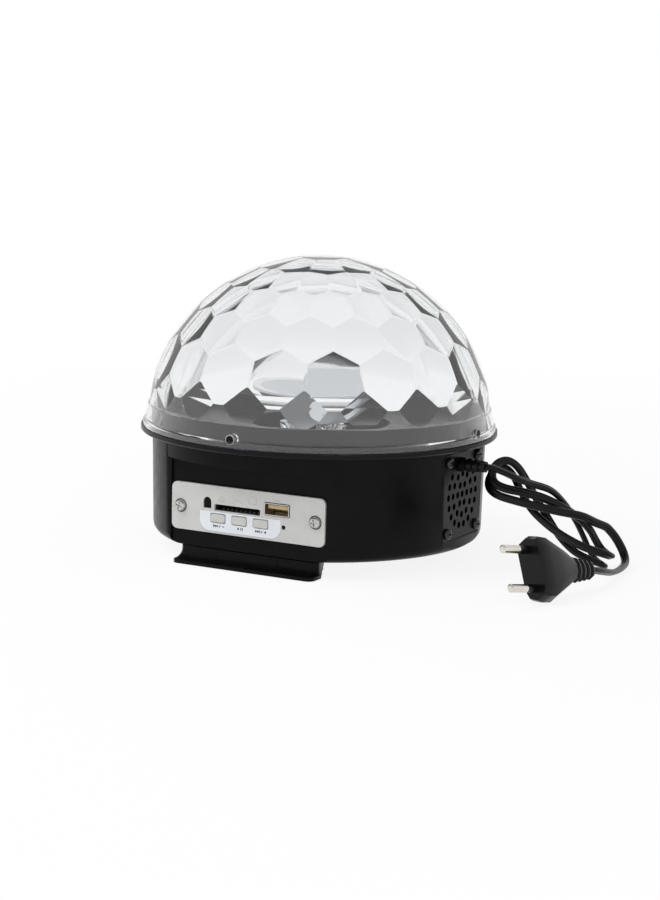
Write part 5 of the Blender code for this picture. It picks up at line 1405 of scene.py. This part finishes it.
def led_emitter(place):
    """A square package with a low round lens."""
    low = WELL_FLOOR + 2 * FIT + LED_BOARD_THICKNESS
    middle, top = low + EMITTER_HEIGHT / 2, low + EMITTER_HEIGHT
    half = EMITTER_WIDTH / 2
    made = box((-half, -half, low), (half, half, middle), "yellow_emitter")
    lens = [(0, low), (half * 4 / 5, low), (half * 4 / 5, middle), (half * 2 / 5, top), (0, top)]
    join(made, turned(lens, SMALL_SIDES))
    return put(made, place)


def led_collimator(place):
    """A clear cup that widens upwards over its emitter."""
    low = WELL_FLOOR + 3 * FIT + LED_BOARD_THICKNESS + EMITTER_HEIGHT
    top = low + COLLIMATOR_HEIGHT
    base, wide = COLLIMATOR_BASE, COLLIMATOR_TOP
    bowl = top - COLLIMATOR_HEIGHT / 3
    profile = [(0, low), (base, low), ((base + wide) / 2, low + COLLIMATOR_HEIGHT / 3)]
    profile += [(wide, top - base / 4), (wide, top), (base, top), (base / 2, bowl), (0, bowl)]
    return put(turned(profile, SMALL_SIDES, "clear_plastic"), place)


def rotor_shaft():
    """The shaft from inside the motor up into the reflector's hub."""
    low = WELL_BOTTOM - FIT - SHAFT_DEPTH
    return prism(ring(SHAFT_RADIUS), low, REFLECTOR_LEVEL + HUB_SOCKET - FIT, "steel")


def rotor_reflector():
    """A mirrored bowl with round windows in its wall, ports in its floor and a hub."""
    low = REFLECTOR_LEVEL
    top = low + REFLECTOR_HEIGHT
    sheet = REFLECTOR_SHEET
    profile = [(0, low), (REFLECTOR_BOTTOM, low), (REFLECTOR_TOP, top - sheet)]
    profile += [(REFLECTOR_TOP + sheet, top - sheet), (REFLECTOR_TOP + sheet, top)]
    profile += [(REFLECTOR_TOP - sheet, top), (REFLECTOR_BOTTOM - sheet, low + sheet)]
    profile += [(HUB_RADIUS, low + sheet), (HUB_RADIUS, low + HUB_HEIGHT), (0, low + HUB_HEIGHT)]
    made = turned(profile, REFLECTOR_SIDES, "mirror_silver")
    middle = (0, 0, low + REFLECTOR_HEIGHT / 2)
    for k, turn in enumerate(around(REFLECTOR_WINDOWS, REFLECTOR_TURN)):
        drill(made, REFLECTOR_WINDOW, REFLECTOR_BOTTOM, REFLECTOR_TOP + OVERRUN, middle, turn)
        if k % 2 == 0:
            port = (*arm(REFLECTOR_PORT_PLACE, turn), 0)
            drill(made, REFLECTOR_PORT, low - OVERRUN, low + 2 * sheet, port)
    drill(made, SHAFT_RADIUS + FIT, low - OVERRUN, low + HUB_SOCKET)
    return made


# Plug and cord


def cord_strain_relief():
    """A flange inside the wall, a neck through it and a tapered sleeve with grooves outside."""
    inside = SIDE_INSIDE - FIT
    profile = [(0, inside - RELIEF_FLANGE_THICKNESS), (RELIEF_FLANGE, inside - RELIEF_FLANGE_THICKNESS)]
    profile += [(RELIEF_FLANGE, inside), (RELIEF_NECK, inside), (RELIEF_NECK, ON_SIDE)]
    profile.append((RELIEF_BASE, ON_SIDE))
    pitch = RELIEF_LENGTH / (RELIEF_GROOVES + 1)
    for k in range(1, RELIEF_GROOVES + 1):
        radius = RELIEF_BASE + (RELIEF_TIP - RELIEF_BASE) * k / (RELIEF_GROOVES + 1)
        middle = ON_SIDE + k * pitch
        half = RELIEF_GROOVE_WIDTH / 2
        profile += [(radius, middle - half), (radius - RELIEF_GROOVE, middle - half)]
        profile += [(radius - RELIEF_GROOVE, middle + half), (radius, middle + half)]
    profile += [(RELIEF_TIP, RELIEF_END), (0, RELIEF_END)]
    made = turned(profile, SMALL_SIDES, "cord_black")
    return put(made, outlet(0), RIGHT)


def hank_middle(share):
    """The point and the direction of the hank's middle line at this share of its length."""
    a, b, c, d = (Vector(point) for point in HANK_LINE)
    rest = 1 - share
    point = a * rest**3 + b * (3 * rest**2 * share) + c * (3 * rest * share**2) + d * share**3
    slope = (b - a) * (3 * rest**2) + (c - b) * (6 * rest * share) + (d - c) * (3 * share**2)
    return point, slope.normalized()


def hank_point(turn):
    """A point of the hank at this turn in degrees: long loops, drawn in at the waist and twisted."""
    angle = math.radians(turn)
    share = (1 - math.cos(angle)) / 2
    middle, along = hank_middle(share)
    level = along.cross(Vector((0, 0, 1))).normalized()
    rise = level.cross(along)
    lean = math.radians(HANK_LEAN + HANK_TWIST * share**2 * (3 - 2 * share))
    across = level * math.cos(lean) + rise * math.sin(lean)
    layer = across.cross(along)
    width = HANK_BULGE * math.sin(angle) * (1 - HANK_WAIST_SHARE * math.sin(angle) ** 2)
    wound = (turn - HANK_START) / (360.0 * HANK_TURNS)
    climb = HANK_STEP * HANK_TURNS * (1 / 2 - wound)
    return middle + across * width + layer * climb


def hank_points():
    """All the hank's points, with a short straight run at both ends."""
    count = round(HANK_TURNS * HANK_POINTS_PER_TURN)
    sweep = 360.0 * HANK_TURNS
    points = [hank_point(HANK_START + sweep * k / count) for k in range(count + 1)]
    first = (points[0] - points[1]).normalized() * CORD_DIAMETER
    last = (points[-1] - points[-2]).normalized() * CORD_DIAMETER
    return [points[0] + first, *points, points[-1] + last]


def smooth_route(points, step):
    """Points at even steps along a smooth curve through the given ones."""
    line = [Vector(point) for point in points]
    ends = [line[0] * 2 - line[1], *line, line[-1] * 2 - line[-2]]
    dense = []
    for before, start, end, after in zip(ends, ends[1:], ends[2:], ends[3:]):
        for k in range(CURVE_STEPS):
            t = k / CURVE_STEPS
            bend = (before * 2 - start * 5 + end * 4 - after) * t**2
            turn = (start * 3 - before - end * 3 + after) * t**3
            dense.append((start * 2 + (end - before) * t + bend + turn) / 2)
    dense.append(line[-1])
    path = np.array([tuple(point) for point in dense])
    length = np.concatenate([[0], np.cumsum(np.linalg.norm(np.diff(path, axis=0), axis=1))])
    count = max(2, round(length[-1] / step))
    places = np.linspace(0, length[-1], count + 1)
    return [Vector([np.interp(s, length, path[:, k]) for k in range(3)]) for s in places]


def joint_points(end, towards):
    """Two points just off an end, square to it: the tube starts there and runs straight."""
    return [end + towards * FIT, end + towards * (FIT + CORD_DIAMETER)]


def cord_route(neck, behind):
    """The whole centreline from the relief through the hank to the plug."""
    hank = hank_points()
    start = joint_points(outlet(RELIEF_END), Vector((1, 0, 0)))
    arrive = joint_points(hank[0], (hank[0] - hank[1]).normalized())
    lead = smooth_route([*start, *LEAD_ROUTE, *reversed(arrive)], ROUTE_STEP)
    leave = joint_points(hank[-1], (hank[-1] - hank[-2]).normalized())
    end = joint_points(neck, behind)
    tail = smooth_route([*leave, *TAIL_ROUTE, *reversed(end)], ROUTE_STEP)
    return smooth_route([*lead[:-1], *hank[1:-1], *tail[1:]], ROUTE_STEP / 2)


def flat_outline():
    """Two cores side by side in one jacket, with a groove between them."""
    radius = FLAT_CORD_WIDTH / 2 - FLAT_CORD_CORE
    outline = []
    for degrees in around(SMALL_SIDES):
        turn = math.radians(degrees)
        reach = FLAT_CORD_CORE * abs(math.cos(turn))
        reach += math.sqrt(radius**2 - (FLAT_CORD_CORE * math.sin(turn)) ** 2)
        outline.append((reach * math.cos(turn), reach * math.sin(turn)))
    return outline


def flat_cord(path):
    """The flat cord along its route, which bends over its thin side."""
    rings = []
    width = Vector((0, 1, 0))
    for k, point in enumerate(path):
        before, after = path[max(k - 1, 0)], path[min(k + 1, len(path) - 1)]
        along = (after - before).normalized()
        pull = (after - point).cross(point - before)
        if pull.length:
            tight = min(1.0, pull.length / (ROUTE_STEP / 2) ** 2 * CORD_BEND_GAIN)
            pull = pull.normalized() * tight * CORD_BEND_SHARE
        if pull.dot(width) < 0:
            pull = -pull
        width = width + pull
        width = (width - along * width.dot(along)).normalized()
        thin = along.cross(width)
        rings.append([point + width * x + thin * y for x, y in flat_outline()])
    return shade(loft(rings, "cord_black"), CORD_SHARP)


def plug_turn():
    """The plug's axes as a rotation: +Z along the pins, +X from the lower pin to the upper one."""
    heading = math.radians(PLUG_HEADING)
    pitch = math.radians(PLUG_PITCH)
    level = math.cos(pitch)
    pins = Vector((level * math.cos(heading), level * math.sin(heading), math.sin(pitch)))
    side = pins.cross(Vector((0, 0, 1))).normalized()
    upright = side.cross(pins)
    roll = math.radians(PLUG_ROLL)
    across = upright * math.cos(roll) + side * math.sin(roll)
    return Matrix((across, pins.cross(across), pins)).transposed()


def plug_sections():
    """The plug's outline at each distance behind its face: width, thickness and distance."""
    wide, thick = PLUG_WIDTH, PLUG_THICKNESS
    shoulder, end = PLUG_SHOULDER, PLUG_BODY
    sections = [
        (PLUG_FACE_WIDTH, PLUG_FACE_THICKNESS, 0),
        (wide, thick, PLUG_FACE_DEPTH),
        (wide, thick, shoulder),
        ((wide * 2 + NECK_WIDTH) / 3, thick, (shoulder * 2 + end) / 3),
        ((wide + NECK_WIDTH * 2) / 3, (thick + NECK_THICKNESS) / 2, end * 4 / 5),
        (NECK_WIDTH, NECK_THICKNESS, end),
    ]
    pitch = (PLUG_LENGTH - PLUG_BODY) / (NECK_RIBS + 1 / 2)
    for k in range(1, NECK_RIBS + 1):
        share = k / (NECK_RIBS + 1)
        width = NECK_WIDTH + (NECK_END_WIDTH - NECK_WIDTH) * share
        thickness = NECK_THICKNESS + (NECK_END_THICKNESS - NECK_THICKNESS) * share
        start = PLUG_BODY + (k - 1 / 2) * pitch
        for inset, place in zip((0, NECK_GROOVE, NECK_GROOVE, 0), NECK_RIB_SHARES):
            sections.append((width - 2 * inset, thickness - 2 * inset, start + place * pitch))
    return [*sections, (NECK_END_WIDTH, NECK_END_THICKNESS, PLUG_LENGTH)]


def pin_places():
    return [(side * PIN_SPACING / 2, 0, 0) for side in (-1, 1)]


def plug_body():
    """A lofted body with a ribbed neck, and a sleeve round the root of each pin."""
    rings = []
    for width, thickness, behind in plug_sections():
        outline = rounded(width, thickness, thickness * PLUG_CORNER_SHARE, 2)
        rings.append([(x, y, -behind) for x, y in outline])
    made = loft(rings, "cord_black")
    for place in pin_places():
        stud(made, PIN_RADIUS, -OVERRUN, PIN_SLEEVE, place)
        drill(made, PIN_CORE + FIT, -PIN_ROOT - FIT, PIN_SLEEVE + OVERRUN, place)
    return made


def plug_pin(place):
    """A round pin with a thinner core inside its sleeve."""
    front = PIN_SLEEVE + FIT
    profile = [(0, -PIN_ROOT), (PIN_CORE, -PIN_ROOT), (PIN_CORE, front), (PIN_RADIUS, front)]
    profile += [(PIN_RADIUS, PIN_LENGTH - PIN_TIP), (PIN_RADIUS - PIN_TIP, PIN_LENGTH), (0, PIN_LENGTH)]
    made = turned(profile, SMALL_SIDES, "nickel")
    made.data.transform(Matrix.Translation(place))
    return made


def mains_lead():
    """The plug, the strain relief and the flat cord between them."""
    turn = plug_turn()
    pieces = [plug_body(), *(plug_pin(place) for place in pin_places())]
    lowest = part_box("plug_body")[0].z
    low_here = min((turn @ corner.co).z for corner in pieces[0].data.vertices)
    place = Vector((*PLUG_PLACE, lowest - low_here))
    for piece, node in zip(pieces, ("plug_body", "plug_pin_lower", "plug_pin_upper")):
        piece.rotation_euler = turn.to_euler()
        piece.location = place
        dress(piece, node)
    pieces.append(dress(cord_strain_relief(), "cord_strain_relief"))
    behind = turn @ Vector((0, 0, -1))
    path = cord_route(place + behind * PLUG_LENGTH, behind)
    cord = flat_cord(path)
    cord.name = "fine_cord"
    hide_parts("cord_lead", "cord_hank", "cord_tail")
    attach(cord, BODY_OF["cord_hank"])


# Camera, light and floor


def camera():
    turn, tilt, roll = (math.radians(a) for a in (CAMERA_AZIMUTH, CAMERA_ELEVATION, CAMERA_ROLL))
    back = Vector((math.sin(turn) * math.cos(tilt), -math.cos(turn) * math.cos(tilt), math.sin(tilt)))
    right = Vector((math.cos(turn), math.sin(turn), 0))
    up = back.cross(right)
    across = right * math.cos(roll) + up * math.sin(roll)
    upright = up * math.cos(roll) - right * math.sin(roll)
    data = bpy.data.cameras.new("photo_camera")
    data.lens = CAMERA_LENS
    data.sensor_width = CAMERA_SENSOR
    data.sensor_fit = "AUTO"
    data.shift_x, data.shift_y = CAMERA_SHIFT
    data.clip_start, data.clip_end = CAMERA_CLIP
    made = bpy.data.objects.new("photo_camera", data)
    bpy.context.scene.collection.objects.link(made)
    place = Matrix.Translation(CAMERA_TARGET + back * CAMERA_DISTANCE)
    made.matrix_world = place @ Matrix((across, upright, back)).transposed().to_4x4()
    bpy.context.scene.camera = made


def lamp(name, place, width, height, power):
    """A soft light that neither gloss nor glass shows."""
    data = bpy.data.lights.new(name, "AREA")
    data.shape = "RECTANGLE"
    data.size = width
    data.size_y = height
    data.energy = power
    made = bpy.data.objects.new(name, data)
    bpy.context.scene.collection.objects.link(made)
    made.location = place
    made.rotation_euler = (Vector(place) - Vector(LAMP_TARGET)).to_track_quat("Z", "Y").to_euler()
    made.visible_glossy = False
    made.visible_transmission = False


def through_glass(tree):
    return add_node(tree, "LightPath", {}).outputs["Is Transmission Ray"]


def seen(tree):
    """1 on rays from the camera, in gloss and through glass; 0 on the rays that light the object."""
    rays = add_node(tree, "LightPath", {}).outputs
    total = maths(tree, "MAXIMUM", rays["Is Camera Ray"], rays["Is Glossy Ray"])
    return maths(tree, "MAXIMUM", total, rays["Is Transmission Ray"])


def room(world):
    """White all round at eye level, grey overhead; a plain grey where it only lights the object."""
    world.use_nodes = True
    tree = world.node_tree
    direction = add_node(tree, "TexCoord", {}).outputs["Generated"]
    height = add_node(tree, "SeparateXYZ", {"Vector": direction}).outputs["Z"]
    overhead = ramp(tree, height, 0.0, 1.0, *ROOM_FADE, "SMOOTHSTEP")
    mirrored = mixed(tree, overhead, ROOM_WHITE, ROOM_OVERHEAD)
    shown = mixed(tree, through_glass(tree), mirrored, ROOM_WHITE)
    feed(tree, tree.nodes["Background"], {"Color": mixed(tree, seen(tree), ROOM_LIGHT, shown)})


def floor_paint():
    """White floor that keeps the object's shadow near it and runs out into the white room."""
    paint = bpy.data.materials.new("floor_white")
    paint.use_nodes = True
    tree = paint.node_tree
    surface = tree.nodes["Principled BSDF"]
    looks = {"Base Color": FLOOR_COLOUR, "Roughness": FLOOR_ROUGH, "Specular IOR Level": 0.0}
    feed(tree, surface, looks)
    away = add_node(tree, "VectorMath", {0: add_node(tree, "TexCoord", {}).outputs["Object"]})
    away.operation = "LENGTH"
    shares = [ramp(tree, away.outputs["Value"], *fade) for fade in (FLOOR_FADE, FLOOR_THROUGH_GLASS)]
    strength = maths(tree, "MULTIPLY", seen(tree), mixed(tree, through_glass(tree), *shares))
    glow = add_node(tree, "Emission", {"Strength": 1.0}).outputs["Emission"]
    both = add_node(tree, "MixShader", {"Fac": strength, 1: surface.outputs["BSDF"], 2: glow})
    feed(tree, tree.nodes["Material Output"], {"Surface": both.outputs["Shader"]})
    return paint


def studio():
    scene = bpy.context.scene
    scene.world = bpy.data.worlds.new("studio")
    room(scene.world)
    outline = rectangle(-FLOOR_REACH, -FLOOR_REACH, FLOOR_REACH, FLOOR_REACH)
    floor = prism(outline, FLOOR_TOP - FLOOR_DEPTH, FLOOR_TOP)
    floor.name = "floor"
    floor.data.materials.clear()
    floor.data.materials.append(floor_paint())
    for row in LAMPS:
        lamp(*row)
    scene.view_settings.view_transform = "Standard"
    scene.cycles.max_bounces = GLASS_BOUNCES
    scene.cycles.transmission_bounces = GLASS_BOUNCES


def speakers():
    for side, turn in (("right", RIGHT), ("left", LEFT)):
        dress(grille(turn, side == "right"), f"speaker_grille_{side}")
        for k, (across, height) in enumerate(grille_screw_places()):
            seat = outward(ON_SIDE, turn, across, height)
            screw(f"grille_screw_{side}_{k + 1}", GRILLE_SCREW_LENGTH, seat, turn, "black_steel_and_slot_shade")
        dress(speaker_cone(turn), f"speaker_cone_{side}")


def lights():
    dress(led_board(), "led_board")
    for k, turn in enumerate(around(EMITTERS, EMITTER_TURN)):
        place = (*arm(EMITTER_PLACE, turn), 0)
        dress(led_emitter(place), f"led_emitter_{k + 1}", smooth=False)
        dress(led_collimator(place), f"led_collimator_{k + 1}")
    dress(rotor_shaft(), "rotor_shaft")
    dress(rotor_reflector(), "rotor_reflector")


def main():
    camera()
    studio()
    mains_lead()
    dress(base_housing(), "base_housing")
    dress(foot(-1), "front_foot")
    dress(foot(1), "rear_foot")
    for k, seat in enumerate(four(POST_ACROSS, POST_BACK, FOOT_HEIGHT - FOOT_WALL - FIT)):
        screw(f"base_screw_{k + 1}", BASE_SCREW_LENGTH, seat)
    dress(lamp_deck(), "lamp_deck")
    dress(dome(), "dome", smooth=False)
    peg_ends()
    dress(front_panel(), "front_panel", smooth=False)
    panel_print()
    for node, side in (("panel_screw_left", -1), ("panel_screw_right", 1)):
        seat = outward(PANEL_FACE + FIT, FRONT, side * PANEL_SCREW_PLACE, PANEL_CENTRE)
        screw(node, PANEL_SCREW_LENGTH, seat, FRONT)
    for node, place in zip(("button_previous", "button_play", "button_next"), button_places()):
        dress(button(place), node)
    dress(usb_socket(), "usb_socket")
    dress(usb_tongue(), "usb_tongue")
    usb_contacts()
    dress(card_socket(), "card_socket")
    card_contacts()
    dress(ir_receiver(), "ir_receiver")
    dress(indicator_led(), "indicator_led")
    speakers()
    lights()
    for node, name in CAD_FINISH.items():
        materials = frame["nodes"][node].data.materials
        materials.clear()
        materials.append(finish(name))


main()
